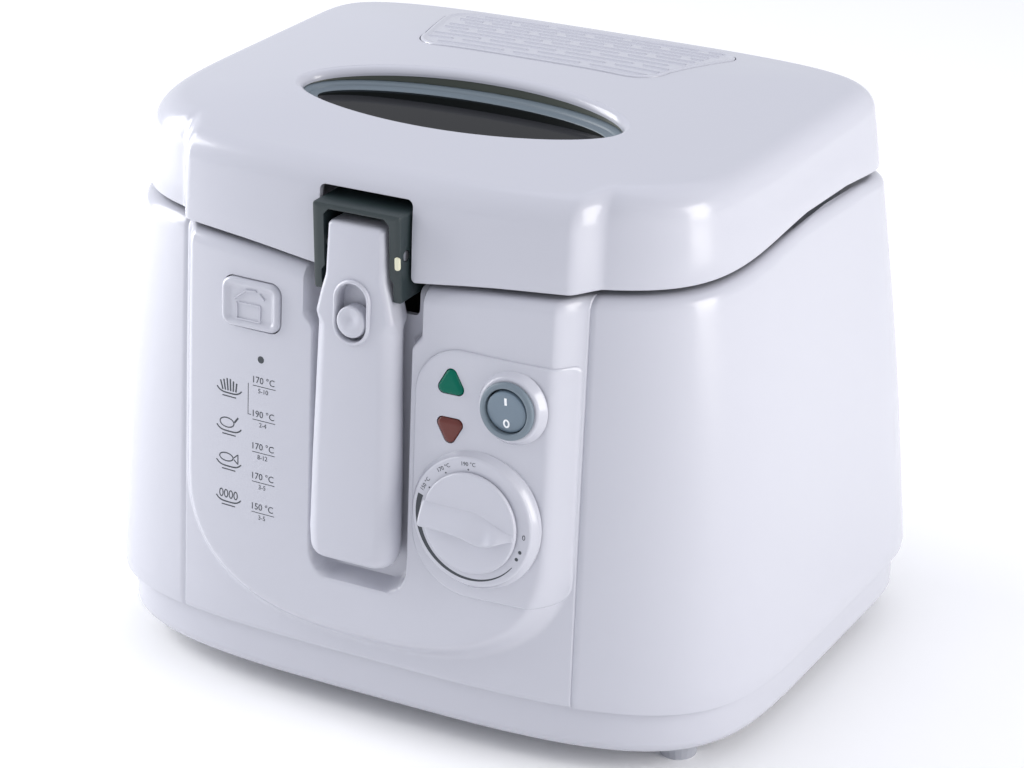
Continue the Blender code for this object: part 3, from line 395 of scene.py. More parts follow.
floor_rings = drawn_in(side[0], np.linspace(0.0, 0.97, 8), tray_low.z)
back = plan_point(around, rise[::-1, None] + WALL * np.linspace(0, 1, 10)[:, None],
                  draw[::-1, None] + WALL, SEAM_Z)
inside_rings = drawn_in(back[-1], np.linspace(0.97, 0.0, 8), tray_low.z + WALL)
back[..., 2] = np.minimum(back[..., 2], tray_high.z)
ring_piece("base", np.concatenate([floor_rings, side, back, inside_rings]), "housing", white_abs,
           stands_for=("base_tray",), slot="white_plastic")
print("walls and base done")

# %% [markdown]
# ## Front panel
#
# The panel carries the shield: the plain wall pushed 8.5 mm forward inside a U-shaped outline,
# with a soft S-shaped flank.  A flat-bottomed recess for the handle is pressed back into it.
# All of this is one height function over (x, z), so the panel is a single grid, with its rows
# and columns crowded where the surface bends.  The bracket's notch and the holes for the
# controls are then cut through.

# %% Front panel
SHIELD, FLANK = 8.5 * MM, 10.0 * MM      # how far it stands proud, and its flank's width
KNEE_Z, TOE_Z = 0.1000, 0.0370           # where its sides turn in, and its lowest point
U_POWER = 2.5              # exponent of the U's round corners
RECESS_X, RECESS_Z, RECESS_R = 23.2 * MM, 0.0662, 12.0 * MM
RECESS_STEP, STEP_Z = 4.1 * MM, 0.1720   # it widens above this height
RECESS_FLANK, STEP_TALL = 4.0 * MM, 8.0 * MM
ENDLESS = 0.5              # the recess runs up and out of the panel
notch_low, notch_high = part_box("handle_bracket")
NOTCH_X = notch_high.x + 1.2 * MM
NOTCH_Z, NOTCH_TOP, NOTCH_BACK = 0.1800, 0.2285, 0.1 * MM - notch_high.y


def shield_rise(x, z):
    """Shield height: an eased step on the distance inside a U with superelliptic corners."""
    side = PANEL_X - np.abs(x)
    drop = KNEE_Z - TOE_Z
    down = (np.clip(KNEE_Z - z, 0.0, None) / drop) ** U_POWER
    across = np.abs(x / PANEL_X) ** U_POWER
    weight = down / (across + down + 1e-12)
    reach = PANEL_X * (1.0 - weight) + drop * weight
    round_side = (1.0 - (across + down) ** (1.0 / U_POWER)) * reach
    return SHIELD * ease(np.where(z >= KNEE_Z, side, round_side) / FLANK)


def round_box(x, y, half_x, half_y, radius):
    """Signed distance to a rounded rectangle: negative inside, zero on its outline."""
    across, along = np.abs(x) - half_x + radius, np.abs(y) - half_y + radius
    reach = np.hypot(np.clip(across, 0, None), np.clip(along, 0, None))
    return reach + np.minimum(np.maximum(across, along), 0.0) - radius


def recess_depth(x, z):
    """The handle's recess: as deep as the shield, inside an upright rounded rectangle."""
    half = RECESS_X + RECESS_STEP * ease((z - STEP_Z) / STEP_TALL)
    inside = -round_box(x, z - RECESS_Z - ENDLESS, half, ENDLESS, RECESS_R)
    return SHIELD * ease(inside / RECESS_FLANK)


def face_y(x, z):
    """y of the shield's face, leaving the recess out."""
    return front_y(x, z) - shield_rise(x, z)


def on_face(x, z, out=0.0):
    """Points at x and z on the shield's face, moved out along its leaning normal."""
    x, z, out = np.broadcast_arrays(x, z, out)
    return np.stack([x, face_y(x, z), z], axis=-1) + out[..., None] * OUT


def leaning_frame(x, z):
    """A flat frame on the face at (x, z): maps (across, up, out) to points."""
    origin = on_face(np.float64(x), np.float64(z))

    def place(across, up, out=0.0):
        across, up, out = np.broadcast_arrays(across, up, out)
        right = across[..., None] * np.array((1.0, 0.0, 0.0))
        return origin + right + up[..., None] * UP + out[..., None] * OUT
    return place


half_columns = stations((0.0, 0.0205, 16), (0.0205, 0.0216, 4), (0.0216, 0.0252, 14),
                        (0.0252, 0.080, 58), (0.080, PANEL_X - 2 * MM, 20),
                        (PANEL_X - 2 * MM, PANEL_X, 10))
columns = np.concatenate([-half_columns[:0:-1], half_columns])[None, :]
inset, z, tilt = wall_profile(SEAM_Z + 0.3 * MM, 150)
foot = rolled_edge(z - SEAM_Z - 0.3 * MM, EDGE) + rolled_edge(PANEL_X - np.abs(columns), EDGE)
y = face_y(columns, z) + recess_depth(columns, z) + inset + foot
y[-1] = front_y(columns[0], BODY_TOP) + RIM      # the rim meets the bowl in line with the walls
outer = np.stack(np.broadcast_arrays(columns, y, z), axis=-1)
inner = outer + WALL * np.stack(np.broadcast_arrays(0 * y, np.cos(tilt), -np.sin(tilt)), axis=-1)
outer, inner = follow_seam(outer, inset), follow_seam(inner, inset)
panel = slab_piece("front", outer, inner, "housing", white_abs, stands_for=("front_panel",),
                   slot="white_plastic")


def outline_box(width, height, radius, arc=8):
    """Points of a rounded rectangle centred on the origin, counter-clockwise."""
    turn = np.linspace(0.0, math.pi / 2, arc + 1)
    corners = []
    for quarter, (sx, sy) in enumerate(((1, 1), (-1, 1), (-1, -1), (1, -1))):
        angle = turn + quarter * math.pi / 2
        corners.append(np.stack([sx * (width / 2 - radius) + radius * np.cos(angle),
                                 sy * (height / 2 - radius) + radius * np.sin(angle)], axis=-1))
    return np.concatenate(corners)


def lens_outline(radius, turn, arc=10):
    """A triangle with fat round corners, pointing up when turn is 0."""
    corner, sweep = radius * 0.42, np.linspace(-math.pi / 3, math.pi / 3, arc + 1)
    points = []
    for heading in math.pi / 2 + turn + np.arange(3) * 2 * math.pi / 3:
        centre = (radius - corner) * np.array((math.cos(heading), math.sin(heading)))
        points.append(centre + corner * np.stack([np.cos(heading + sweep),
                                                  np.sin(heading + sweep)], axis=-1))
    return np.concatenate(points)


def cutter(outline, place, near, far):
    """A closed prism over an outline, from near to far along a frame's outward direction."""
    rings = [place(outline[:, 0] * k, outline[:, 1] * k, out)
             for k, out in ((0.0, near), (1.0, near), (1.0, far), (0.0, far))]
    return ring_piece("cutter", np.stack(rings), "housing", white_abs)


def upright(across, up, out=0.0):
    """The frame of the upright front: across is x, up is z, out is -y."""
    across, up, out = np.broadcast_arrays(across, up, out)
    return np.stack([across, -out, up], axis=-1)


def circle(radius, count=64):
    """A circle's outline."""
    angle = np.linspace(0.0, 2 * math.pi, count, endpoint=False)
    return radius * np.stack([np.cos(angle), np.sin(angle)], axis=-1)


def middle_of(node):
    """The centre of a frame part's box."""
    low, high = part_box(node)
    return (low + high) / 2


switch_at, lens_at = middle_of("switch_housing"), middle_of("green_lens")
SWITCH_X, SWITCH_Z = switch_at.x, 0.1550
LENS_X, GREEN_Z, RED_Z = lens_at.x, 0.1600, 0.1420
RELEASE_X, RELEASE_Z = middle_of("release_button").x, 0.1740
KNOB_X, KNOB_Z = middle_of("thermostat_shaft").x, 0.1068
BUTTON_W, BUTTON_H, BUTTON_R = 27.2 * MM, 20.0 * MM, 4.6 * MM
LENS_R, LENS_GAP = 5.8 * MM, 0.4 * MM
BARREL_R, SHAFT_R = 10.9 * MM, 3.8 * MM  # holes for the switch's barrel and the knob's shaft
BUTTON_GAP = 0.5 * MM
FAR = 30 * MM


def control_holes():
    """Cutters through the front for the switch, both lenses and the knob's shaft."""
    lens = LENS_R + LENS_GAP
    return [cutter(circle(BARREL_R), leaning_frame(SWITCH_X, SWITCH_Z), -FAR, FAR),
            cutter(circle(SHAFT_R), leaning_frame(KNOB_X, KNOB_Z), -FAR, FAR),
            cutter(lens_outline(lens, 0.0), leaning_frame(LENS_X, GREEN_Z), -FAR, FAR),
            cutter(lens_outline(lens, math.pi), leaning_frame(LENS_X, RED_Z), -FAR, FAR)]


notch_outline = outline_box(2 * NOTCH_X, 0.06, 2.5 * MM) + np.array((0.0, NOTCH_Z + 0.03))
cut(panel, [
    cutter(notch_outline, upright, NOTCH_BACK, 0.20),
    cutter(outline_box(BUTTON_W + 2 * BUTTON_GAP, BUTTON_H + 2 * BUTTON_GAP,
                       BUTTON_R + BUTTON_GAP), leaning_frame(RELEASE_X, RELEASE_Z), -FAR, FAR),
] + control_holes())
print("front panel:", len(panel.data.polygons), "faces")

# %% [markdown]
# ## Pads, rims and buttons on the front
#
# The control field, the dial boss, the switch collar and the release button are all the
# same idea: an outline drawn in step by step while its height follows a small profile.  The
# function below makes any of them.  A pad closes over its middle; a rim comes back down inside.

# %% Control field, boss and collar
def draw_in(outline, inset):
    """An outline moved inward along its own normals by inset."""
    ahead, behind = np.roll(outline, -1, axis=0), np.roll(outline, 1, axis=0)
    along = ahead - behind
    along /= np.linalg.norm(along, axis=1, keepdims=True) + 1e-12
    return outline + inset * np.stack([-along[:, 1], along[:, 0]], axis=-1)


def pad(name, outline, profile, place, body, finish_, hollow=False, fill=10, **more):
    """A raised pad or rim: rings of the outline at each (inset, height) of the profile."""
    rings = [place(*draw_in(outline, inset).T, height) for inset, height in profile]
    if hollow:
        rings.append(rings[0])
    else:
        centre = outline.mean(axis=0)
        first, last = draw_in(outline, profile[0][0]), draw_in(outline, profile[-1][0])
        for share in np.linspace(1.0, 0.0, fill)[1:]:
            rings.append(place(*(centre + (last - centre) * share).T, profile[-1][1]))
            rings.insert(0, place(*(centre + (first - centre) * share).T, profile[0][1]))
    return ring_piece(name, np.stack(rings), body, finish_, **more)


def soft_edge(height, radius, sunk=0.5 * MM, flank=0.0, steps=7):
    """Profile of a pad: from below the surface up a flank, then a quarter round to its top."""
    turn = np.linspace(0.0, math.pi / 2, steps)
    rise = [(0.0, -sunk)]
    for angle in turn:
        rise.append((flank + radius * (1 - math.cos(angle)),
                     height - radius * (1 - math.sin(angle))))
    return rise


def field_outline(left, right, low, high_left, high_right):
    """The control field: big round corners on the left, small ones on the right."""
    corners = ((right, high_right, 3.0, 0), (left, high_left, 20.0, 1),
               (left, low, 26.0, 2), (right, low, 9.0, 3))
    turn = np.linspace(0.0, math.pi / 2, 25)
    points = []
    for x, z, radius, quarter in corners:
        radius *= MM
        cx = x - radius if quarter in (0, 3) else x + radius
        cz = z - radius if quarter in (0, 1) else z + radius
        angle = turn + quarter * math.pi / 2
        points.append(np.stack([cx + radius * np.cos(angle), cz + radius * np.sin(angle)], -1))
    runs = []
    for index, run in enumerate(points):
        after = points[(index + 1) % 4][0]
        share = np.linspace(0.0, 1.0, 42)[1:-1, None]
        runs += [run, run[-1] + (after - run[-1]) * share]
    return np.concatenate(runs)


field = field_outline(0.0250, PANEL_X - 1.2 * MM, 0.0736, 0.1738, 0.1722)
FIELD_H = 1.2 * MM
field_piece = pad("control_field", field, soft_edge(FIELD_H, 1.1 * MM), on_face, "housing",
                  white_abs, fill=26, slot="white_plastic")
cut(field_piece, control_holes())

dial, switch = leaning_frame(KNOB_X, KNOB_Z), leaning_frame(SWITCH_X, SWITCH_Z)
BOSS_R, BOSS_TOP_R, BOSS_H = 28.3 * MM, 26.3 * MM, 4.6 * MM


def turned_profile(points):
    """(inset, height) rows for a round pad from (radius, height) ones."""
    return [(points[0][0] - radius, height) for radius, height in points]


def round_edge(radius, height, bend, start, steps):
    """(radius, height) points of a turned edge rounded to bend, from the angle start up."""
    return [(radius - bend * (1 - math.cos(angle)), height - bend * (1 - math.sin(angle)))
            for angle in np.linspace(start, math.pi / 2, steps)]


boss = [(BOSS_R, -0.5 * MM), (BOSS_R, 1.2 * MM)]
boss += round_edge(BOSS_TOP_R + 0.3 * MM, BOSS_H, 1.3 * MM, 0.0, 8)
boss += [(BOSS_TOP_R - 4 * MM, BOSS_H), (4.0 * MM, BOSS_H), (4.0 * MM, -0.5 * MM)]
pad("dial_boss", circle(BOSS_R, 160), turned_profile(boss), dial, "housing", white_abs,
    hollow=True, slot="white_plastic")
COLLAR_R, COLLAR_H = 14.9 * MM, 4.5 * MM
collar = [(COLLAR_R, 0.5 * MM), (14.5 * MM, 1.7 * MM)]
collar += round_edge(13.4 * MM, COLLAR_H, 1.6 * MM, 0.2, 8)
collar += [(BARREL_R, COLLAR_H), (BARREL_R, 0.5 * MM)]
pad("switch_collar", circle(COLLAR_R, 128), turned_profile(collar), switch, "housing",
    white_abs, hollow=True, slot="white_plastic")
print("controls' seats done")

# %% [markdown]
# ## Lid
#
# The lid's top is a shallow crown: its height falls with the square of the distance from the
# middle, measured as a share of the way to the outline.  A round shoulder of 12 mm carries it
# over into the side, and on the front the whole edge steps forward over the shield.  The skin
# is built twice, outside and inside, and the two meet at the lower edge.

# %% Lid skin
LID_WALL, LID_R, LID_INSET = 2.6 * MM, 12.0 * MM, 1.0 * MM
SHOULDER_Z = 0.2390        # height of the top of the shoulder
LID_MID = np.array((0.0, 0.0033))
ROLL = math.radians(82.0)  # the shoulder's arc ends here, already on the crown's slope


def lid_bulge(x, y):
    """How far the lid's edge steps forward over the shield."""
    return np.where(y < WIDEST_Y, SHIELD * ease((PANEL_X + 1 * MM - np.abs(x)) / FLANK + 0.3), 0)


around = np.linspace(0.0, 2 * math.pi, 480, endpoint=False)
plain = plan_point(around, SHOULDER_Z, LID_INSET + LID_R * (1 - math.cos(ROLL)))[:, :2] - LID_MID
turn_of = np.arctan2(plain[:, 1], plain[:, 0])
order = np.argsort(turn_of)
REACH_TURN, REACH = turn_of[order], np.hypot(*plain[order].T)


def lid_top(x, y):
    """Height of the crown: falls with the square of the share of the way to the outline."""
    across, along = x - LID_MID[0], y - LID_MID[1]
    edge = np.interp(np.arctan2(along, across), REACH_TURN, REACH, period=2 * math.pi)
    share = np.hypot(across, along) / edge
    return CROWN_Z - 0.1 * MM - (CROWN_Z - SHOULDER_Z) * share ** 2


def lid_skin(wall):
    """Rings from the lower edge up the side, over the shoulder and in to the crown's middle."""
    lip = 1.2 * MM
    radius = LID_R - wall
    turn = np.linspace(0.0, ROLL, 13)
    inset = LID_INSET + wall + radius * (1 - math.cos(ROLL))
    edge = plan_point(around, SHOULDER_Z, inset)
    edge[:, 1] -= lid_bulge(edge[:, 0], edge[:, 1])
    edge_z = lid_top(edge[:, 0], edge[:, 1]) - wall
    rings = []
    for z, draw in ((LID_Z, lip * 0.55), (LID_Z + lip * 0.25, lip * 0.2), (LID_Z + lip, 0.0),
                    (LID_Z + 8.7 * MM, 0.0), (LID_Z + 16.7 * MM, 0.0)):
        ring = plan_point(around, z, LID_INSET + wall + (0.0 if wall else draw))
        ring[:, 1] -= lid_bulge(ring[:, 0], ring[:, 1])
        rings.append(ring)
    for angle in turn:
        ring = plan_point(around, 0.2300, LID_INSET + wall + radius * (1 - math.cos(angle)))
        ring[:, 1] -= lid_bulge(ring[:, 0], ring[:, 1])
        ring[:, 2] = edge_z - radius * (math.sin(ROLL) - math.sin(angle))
        rings.append(ring)
    last = rings[-1][:, :2]
    for share in np.linspace(1.0, 0.0, 44)[1:]:
        spot = LID_MID + (last - LID_MID) * share
        rings.append(np.column_stack([spot, lid_top(*spot.T) - wall]))
    return follow_seam(np.stack(rings))


def over(x, y, out=0.0):
    """A place on the lid's crown: (x, y) moved up by out."""
    x, y, out = np.broadcast_arrays(x, y, out)
    return np.stack([x, y, lid_top(x, y) + out], axis=-1)


def level(x, y, out=0.0):
    """The level frame: (x, y) at the height out."""
    x, y, out = np.broadcast_arrays(x, y, out)
    return np.stack([x, y, out], axis=-1)


def ellipse(half_x, half_y, centre_y, count=160):
    """An ellipse's outline, centred on x = 0."""
    angle = np.linspace(0.0, 2 * math.pi, count, endpoint=False)
    return np.stack([half_x * np.cos(angle), centre_y + half_y * np.sin(angle)], axis=-1)


FRONT_Y, BACK_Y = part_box("filter_cover")[0].y - 0.5 * MM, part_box("filter_cover")[1].y + 0.5 * MM
FRONT_X, BACK_X, FILTER_R = 58.0 * MM, 69.0 * MM, 15.0 * MM


def filter_outline(inset=0.0):
    """The filter opening: a trapezoid wider at the rear, with round corners and straight runs."""
    turn = np.linspace(0.0, math.pi / 2, 13)
    runs = []
    corners = ((BACK_X, BACK_Y, 0), (-BACK_X, BACK_Y, 1), (-FRONT_X, FRONT_Y, 2),
               (FRONT_X, FRONT_Y, 3))
    for x, y, quarter in corners:
        cx = x - math.copysign(FILTER_R, x)
        cy = y + (FILTER_R if quarter > 1 else -FILTER_R)
        angle = turn + quarter * math.pi / 2
        runs.append(np.stack([cx + (FILTER_R - inset) * np.cos(angle),
                              cy + (FILTER_R - inset) * np.sin(angle)], axis=-1))
    joined = []
    for index, run in enumerate(runs):
        after = runs[(index + 1) % 4][0]
        share = np.linspace(0.0, 1.0, 26)[1:-1, None]
        joined += [run, run[-1] + (after - run[-1]) * share]
    return np.concatenate(joined)


WINDOW_Y, WINDOW_A, WINDOW_B = middle_of("window_glass").y, 71.6 * MM, 27.6 * MM
LIP = 3.4 * MM
lid = ring_piece("lid", np.concatenate([lid_skin(LID_WALL)[::-1], lid_skin(0.0)]), "lid",
                 white_abs, stands_for=("lid_cover",), slot="white_plastic")
FLARE = 2.6 * MM
WAIST = float(seam_lift(NOTCH_X, panel_low.y))
quarter = np.linspace(0.0, math.pi / 2, 9)
right_side = np.concatenate([
    np.stack([NOTCH_X + FLARE * (1 - np.cos(quarter)),
              BODY_TOP + WAIST - FLARE * (1 - np.sin(quarter))], -1),
    np.stack([NOTCH_X + FLARE * (1 - np.sin(quarter)),
              LID_Z + WAIST + FLARE * (1 - np.cos(quarter))], -1),
    np.stack([NOTCH_X - FLARE * (1 - np.cos(quarter)),
              NOTCH_TOP - FLARE * (1 - np.sin(quarter))], -1)])
left_side = right_side[::-1] * np.array((-1.0, 1.0))
hourglass = np.concatenate([[(NOTCH_X, NOTCH_Z + 5 * MM)], right_side, left_side,
                            [(-NOTCH_X, NOTCH_Z + 5 * MM)]])
cut(lid, [
    cutter(ellipse(WINDOW_A + LIP - 0.3e-3, WINDOW_B + LIP - 0.3e-3, WINDOW_Y), level, 0.2, 0.3),
    cutter(filter_outline(), level, 0.2, 0.3),
    cutter(hourglass, upright, NOTCH_BACK, 0.20),
])
cut(panel, [cutter(hourglass, upright, NOTCH_BACK, 0.20)])
print("lid:", len(lid.data.polygons), "faces")

# %% [markdown]
# ## Window
#
# The window's edge rolls over into the opening with a 3.4 mm radius, which is what catches the
# bright line along its far side.  Below it sit a ring coloured olive-black as painted shadow under
# the lip, a grey silicone gasket in two steps, and the smoked glass.

# %% Window rim, gasket and glass
def window_ring(name, rows, body_finish, **more):
    """A closed ring round the window from (distance out of the opening, height) rows.

    Heights are measured down from the crown where they are negative, and are plain z above 0.
    """
    rings = []
    for outward, height in rows + rows[:1]:
        line = ellipse(WINDOW_A, WINDOW_B, WINDOW_Y, 220)
        line = draw_in(line, -outward)
        top = lid_top(*line.T) if height <= 0 else 0.0
        rings.append(np.column_stack([line, np.zeros(len(line)) + top + height]))
    return ring_piece(name, np.stack(rings), "lid", body_finish, **more)


roll = [(LIP * (1 - math.sin(a)), -LIP * (1 - math.cos(a))) for a in np.linspace(0, 1.45, 12)]
window_ring("window_lip", [(LIP, -2.4 * MM)] + roll + [(0.1 * MM, -3.9 * MM),
                                                       (1.6 * MM, -3.9 * MM)],
            white_abs, slot="white_plastic")
# The ring below the lip is coloured olive-black as painted shadow: the shade that falls under the
# window's lip.
lip_shadow_olive = finish("olive-black painted shadow ring", "4B5049", 0.45, grain=0.8, height=0.01)
window_ring("window_lip_shadow_ring", [(2.4 * MM, -3.6 * MM), (0.3 * MM, -3.95 * MM),
                                  (0.2 * MM, 0.2397), (2.4 * MM, 0.2397)],
            lip_shadow_olive, stands_for=("window_frame",), slot="dark_plastic")
gasket_rows = [(2.2 * MM, 0.2393), (0.1 * MM, 0.2395), (-0.8 * MM, 0.2393), (-1.9 * MM, 0.2389),
               (-2.4 * MM, 0.2385), (-2.6 * MM, 0.2380), (-3.0 * MM, 0.2378),
               (-4.8 * MM, 0.2376), (-5.6 * MM, 0.2374), (-5.8 * MM, 0.2371), (2.2 * MM, 0.2371)]
window_ring("gasket", gasket_rows, silicone, stands_for=("window_gasket",), slot="silicone")
pane = ellipse(80.0 * MM, 36.0 * MM, WINDOW_Y)
glass_low, glass_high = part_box("window_glass")
pad("pane", pane, [(0.0, glass_low.z), (0.0, glass_high.z - 0.4 * MM),
                   (0.4 * MM, glass_high.z)], level, "lid", smoked_glass,
    stands_for=("window_glass",), slot="glass")

# %% [markdown]
# ## Filter cover
#
# A thin-walled cover with a raised rim and rows of low ribs.  The ribs are broken into dashes
# that shift from row to row, so it reads as a grip surface and hides the joint of the mould.

# %% Filter cover and its ribs
def stroke(points, width, low, high, place, taper=1.0):
    """Rings of a closed ribbon along points: a small trapezoid section, closed at both ends."""
    points = np.asarray(points, float)
    along = np.gradient(points, axis=0)
    along /= np.linalg.norm(along, axis=1, keepdims=True) + 1e-12
    beside = np.stack([-along[:, 1], along[:, 0]], axis=-1)
    half = width / 2
    rings = [place(*(points + beside * off).T, np.full(len(points), height))
             for off, height in ((-half, low), (half, low), (half * taper, high),
                                 (-half * taper, high))]
    rings = np.stack(rings, axis=1)
    ends = [np.repeat(rings[k].mean(axis=0)[None], 4, axis=0)[None] for k in (0, -1)]
    return np.concatenate([ends[0], rings, ends[1]])


def strokes_piece(name, ribbons, body, finish_, **more):
    """One piece from several ribbons that don't touch."""
    points, faces, offset = [], [], 0
    for ribbon in ribbons:
        rows, cols = ribbon.shape[:2]
        points.append(ribbon.reshape(-1, 3))
        faces.append(grid_faces(rows, cols, True) + offset)
        offset += rows * cols
    return piece(name, np.concatenate(points), np.concatenate(faces), body, finish_, **more)


cover_edge = [(0.45 * MM, -3.2 * MM), (0.45 * MM, 0.0), (0.7 * MM, 0.4 * MM),
              (1.3 * MM, 0.62 * MM), (2.0 * MM, 0.55 * MM), (2.6 * MM, 0.2 * MM),
              (3.1 * MM, 0.0), (4.2 * MM, -0.05 * MM)]
pad("filter_lid_cover", filter_outline(), cover_edge, over, "filter_lid", white_abs,
    stands_for=("filter_cover",), slot="white_plastic", fill=30)
RIB_PITCH, RIB_W, RIB_H, DASH, DASH_GAP = 6.1 * MM, 2.0 * MM, 0.55 * MM, 31 * MM, 5 * MM
ribs = []
for row, y in enumerate(np.arange(FRONT_Y + 7 * MM, BACK_Y - 4 * MM, RIB_PITCH)):
    lean = (y - FRONT_Y) / (BACK_Y - FRONT_Y)
    reach = FRONT_X + (BACK_X - FRONT_X) * lean - 6 * MM
    corner = max(0.0, FILTER_R - min(y - FRONT_Y, BACK_Y - y)) ** 1.6 * 4.0
    reach -= corner
    at = -reach + (row % 3) * 11 * MM - DASH
    while at < reach:
        low, high = max(at, -reach), min(at + DASH, reach)
        if high - low > 4 * MM:
            xs = np.linspace(low, high, 8)
            ribs.append(stroke(np.column_stack([xs, np.full(8, y)]), RIB_W, -0.4 * MM, RIB_H,
                               over, 0.35))
        at += DASH + DASH_GAP
strokes_piece("filter_ribs", ribs, "filter_lid", white_abs, slot="white_plastic")
print("ribs on the filter cover:", len(ribs))

# %% [markdown]
# ## Handle
#
# The grip is a loft: a rounded rectangle whose width, depth and corner radius change along its
# length.  The neck has tight corners; lower down they open to a soft bevel, and the change
# between them makes the small step beside the slide.  The front is crowned a little so that the
# highlight runs down one side.

# %% Handle grip, slide and bracket
PIVOT_Y, PIVOT_Z = -0.1057, 0.2070
grip_low, grip_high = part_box("handle_grip")
LEAN = math.atan(0.085)


def handle_size(z):
    """Half width, front y, rear y and corner radius of the handle at height z."""
    at = np.array((0.082, 0.090, 0.120, 0.1800, 0.1900, 0.1960, 0.2175))
    half = np.interp(z, at, np.array((18.8, 19.6, 19.2, 17.6, 15.2, 13.4, 12.6)) * MM)
    radius = np.interp(z, (0.082, 0.1760, 0.1810, 0.2175), np.array((7.2, 6.4, 2.6, 2.0)) * MM)
    return half, -0.1152 - 0.0946 * (0.1800 - z), -0.1002 + 0.0750 * (z - 0.1840), radius


def handle_rings():
    """Sections from the round foot to the flat top, poles at both ends."""
    foot_turn = np.linspace(0.0, math.pi / 2, 8)
    rows = [(grip_low.z + 5.4 * MM * (1 - math.sin(a)), 4.6 * MM * (1 - math.cos(a)))
            for a in foot_turn[::-1]]
    rows += [(z, 0.0) for z in stations((0.0845, 0.174, 30), (0.174, 0.185, 14),
                                        (0.185, grip_high.z - 1.6 * MM, 16))]
    rows += [(grip_high.z - 1.2 * MM, 0.1 * MM), (grip_high.z - 0.4 * MM, 0.7 * MM),
             (grip_high.z, 1.8 * MM)]
    rings = []
    for z, squeeze in rows:
        half, front, rear, radius = handle_size(z)
        depth = rear - front - 2 * squeeze
        radius = min(max(radius - squeeze * 0.6, 0.8 * MM), depth / 2 - 0.2 * MM)
        line = outline_box(2 * (half - squeeze), depth, radius, 10)
        y = (front + rear) / 2 + line[:, 1]
        crown = 1.0 * MM * (line[:, 0] / half) ** 2 * (line[:, 1] < 0)
        rings.append(np.column_stack([line[:, 0], y + crown, np.full(len(line), z)]))
    for index, ring in ((0, rings[0]), (len(rings) + 1, rings[-1])):
        rings.insert(index, np.repeat(ring.mean(axis=0)[None], len(ring), axis=0))
    return np.stack(rings)


SLOT_Z, SLOT_W, SLOT_H = 0.1830, 13.8 * MM, 23.6 * MM
slot_origin = np.array((0.0, handle_size(SLOT_Z)[1], SLOT_Z))
LEAN_OUT, LEAN_UP = (np.array((0.0, -math.cos(LEAN), math.sin(LEAN))),
                     np.array((0.0, math.sin(LEAN), math.cos(LEAN))))


def on_grip(across, up, out=0.0):
    """A flat frame on the grip's front, centred on the slide's slot."""
    across, up, out = np.broadcast_arrays(across, up, out)
    right = across[..., None] * np.array((1.0, 0.0, 0.0))
    return slot_origin + right + up[..., None] * LEAN_UP + out[..., None] * LEAN_OUT


grip = ring_piece("grip", handle_rings(), "handle", satin_abs,
                  stands_for=("handle_grip", "handle_cover"), slot="white_plastic")
oval = outline_box(SLOT_W, SLOT_H, SLOT_W / 2 - 1e-5, 16)
pin_bore = circle(2.4 * MM, 32) + np.array((PIVOT_Y, PIVOT_Z))


def sideways(across, up, out=0.0):
    """The side frame: across is y, up is z, out is x."""
    across, up, out = np.broadcast_arrays(across, up, out)
    return np.stack([out, across, up], axis=-1)


cut(grip, [cutter(oval, on_grip, -6 * MM, 8 * MM), cutter(pin_bore, sideways, -0.05, 0.05)])
slot_rim = [(-1.4 * MM, -0.6 * MM), (-1.4 * MM, -0.1 * MM), (-1.1 * MM, 0.5 * MM),
            (-0.6 * MM, 0.75 * MM), (-0.1 * MM, 0.6 * MM), (0.15 * MM, 0.1 * MM),
            (0.2 * MM, -3.0 * MM), (-0.6 * MM, -3.2 * MM)]
pad("slot_rim", oval, slot_rim, on_grip, "handle", satin_abs, hollow=True, slot="white_plastic")


def slide_button():
    """A dome of 6.4 mm radius with a shallow dish above its middle, which leaves a ledge."""
    radius, low = 6.4 * MM, -SLOT_H / 2 + SLOT_W / 2 + 1.3 * MM
    angle = np.linspace(0.0, 2 * math.pi, 72, endpoint=False)
    rings = [(0.0, -4.6 * MM), (1.0, -4.6 * MM), (1.0, -0.4 * MM), (0.99, 0.1 * MM),
             (0.96, 0.5 * MM), (0.90, 0.9 * MM)]
    rings += [(share, None) for share in np.linspace(0.82, 0.0, 12)]
    points = []
    for share, height in rings:
        u, v = radius * share * np.cos(angle), radius * share * np.sin(angle)
        if height is None:
            dish = ease(1.0 - np.hypot(u, v - 1.3 * MM) / (5.2 * MM))
            height = 1.0 * MM + 1.1 * MM * (0.82 ** 2 - share ** 2) - 1.5 * MM * dish
        points.append(on_grip(u, v + low, height))
    return np.stack(points)


ring_piece("slide_button", slide_button(), "slide", satin_abs, stands_for=("handle_slide",),
           slot="white_plastic", corner=50.0)
pin_cap = outline_box(2.2 * MM, 5.4 * MM, 1.0 * MM)
BRACKET_BACK = 2.3 * MM    # thickness of the bracket's rear plate
cheeks = notch_high - notch_low
shape = outline_box(cheeks.x, cheeks.z, 1.2 * MM) + np.array((0.0, middle_of("handle_bracket").z))
bracket = pad("bracket", shape, [(0.0, -notch_high.y), (0.0, -notch_low.y - 0.8 * MM),
                                 (0.25 * MM, -notch_low.y - 0.25 * MM), (0.8 * MM, -notch_low.y)],
              upright, "housing", dark_nylon, stands_for=("handle_bracket",),
              slot="dark_plastic")
room = np.array(((16.1, -5.0), (16.1, 8.0), (14.6, 10.0), (14.6, 31.0), (12.4, 33.3)))
room = np.concatenate([room, room[::-1] * np.array((-1, 1))]) * MM + np.array((0, notch_low.z))
cut(bracket, [cutter(room, upright, BRACKET_BACK - notch_high.y, 0.2),
              cutter(pin_bore, sideways, -0.05, 0.05)])


def beside_bracket(across, up, out=0.0):
    """An upright frame on the right cheek of the bracket."""
    return upright(across + notch_high.x - 1.3 * MM, up + 0.2050, out - notch_low.y)


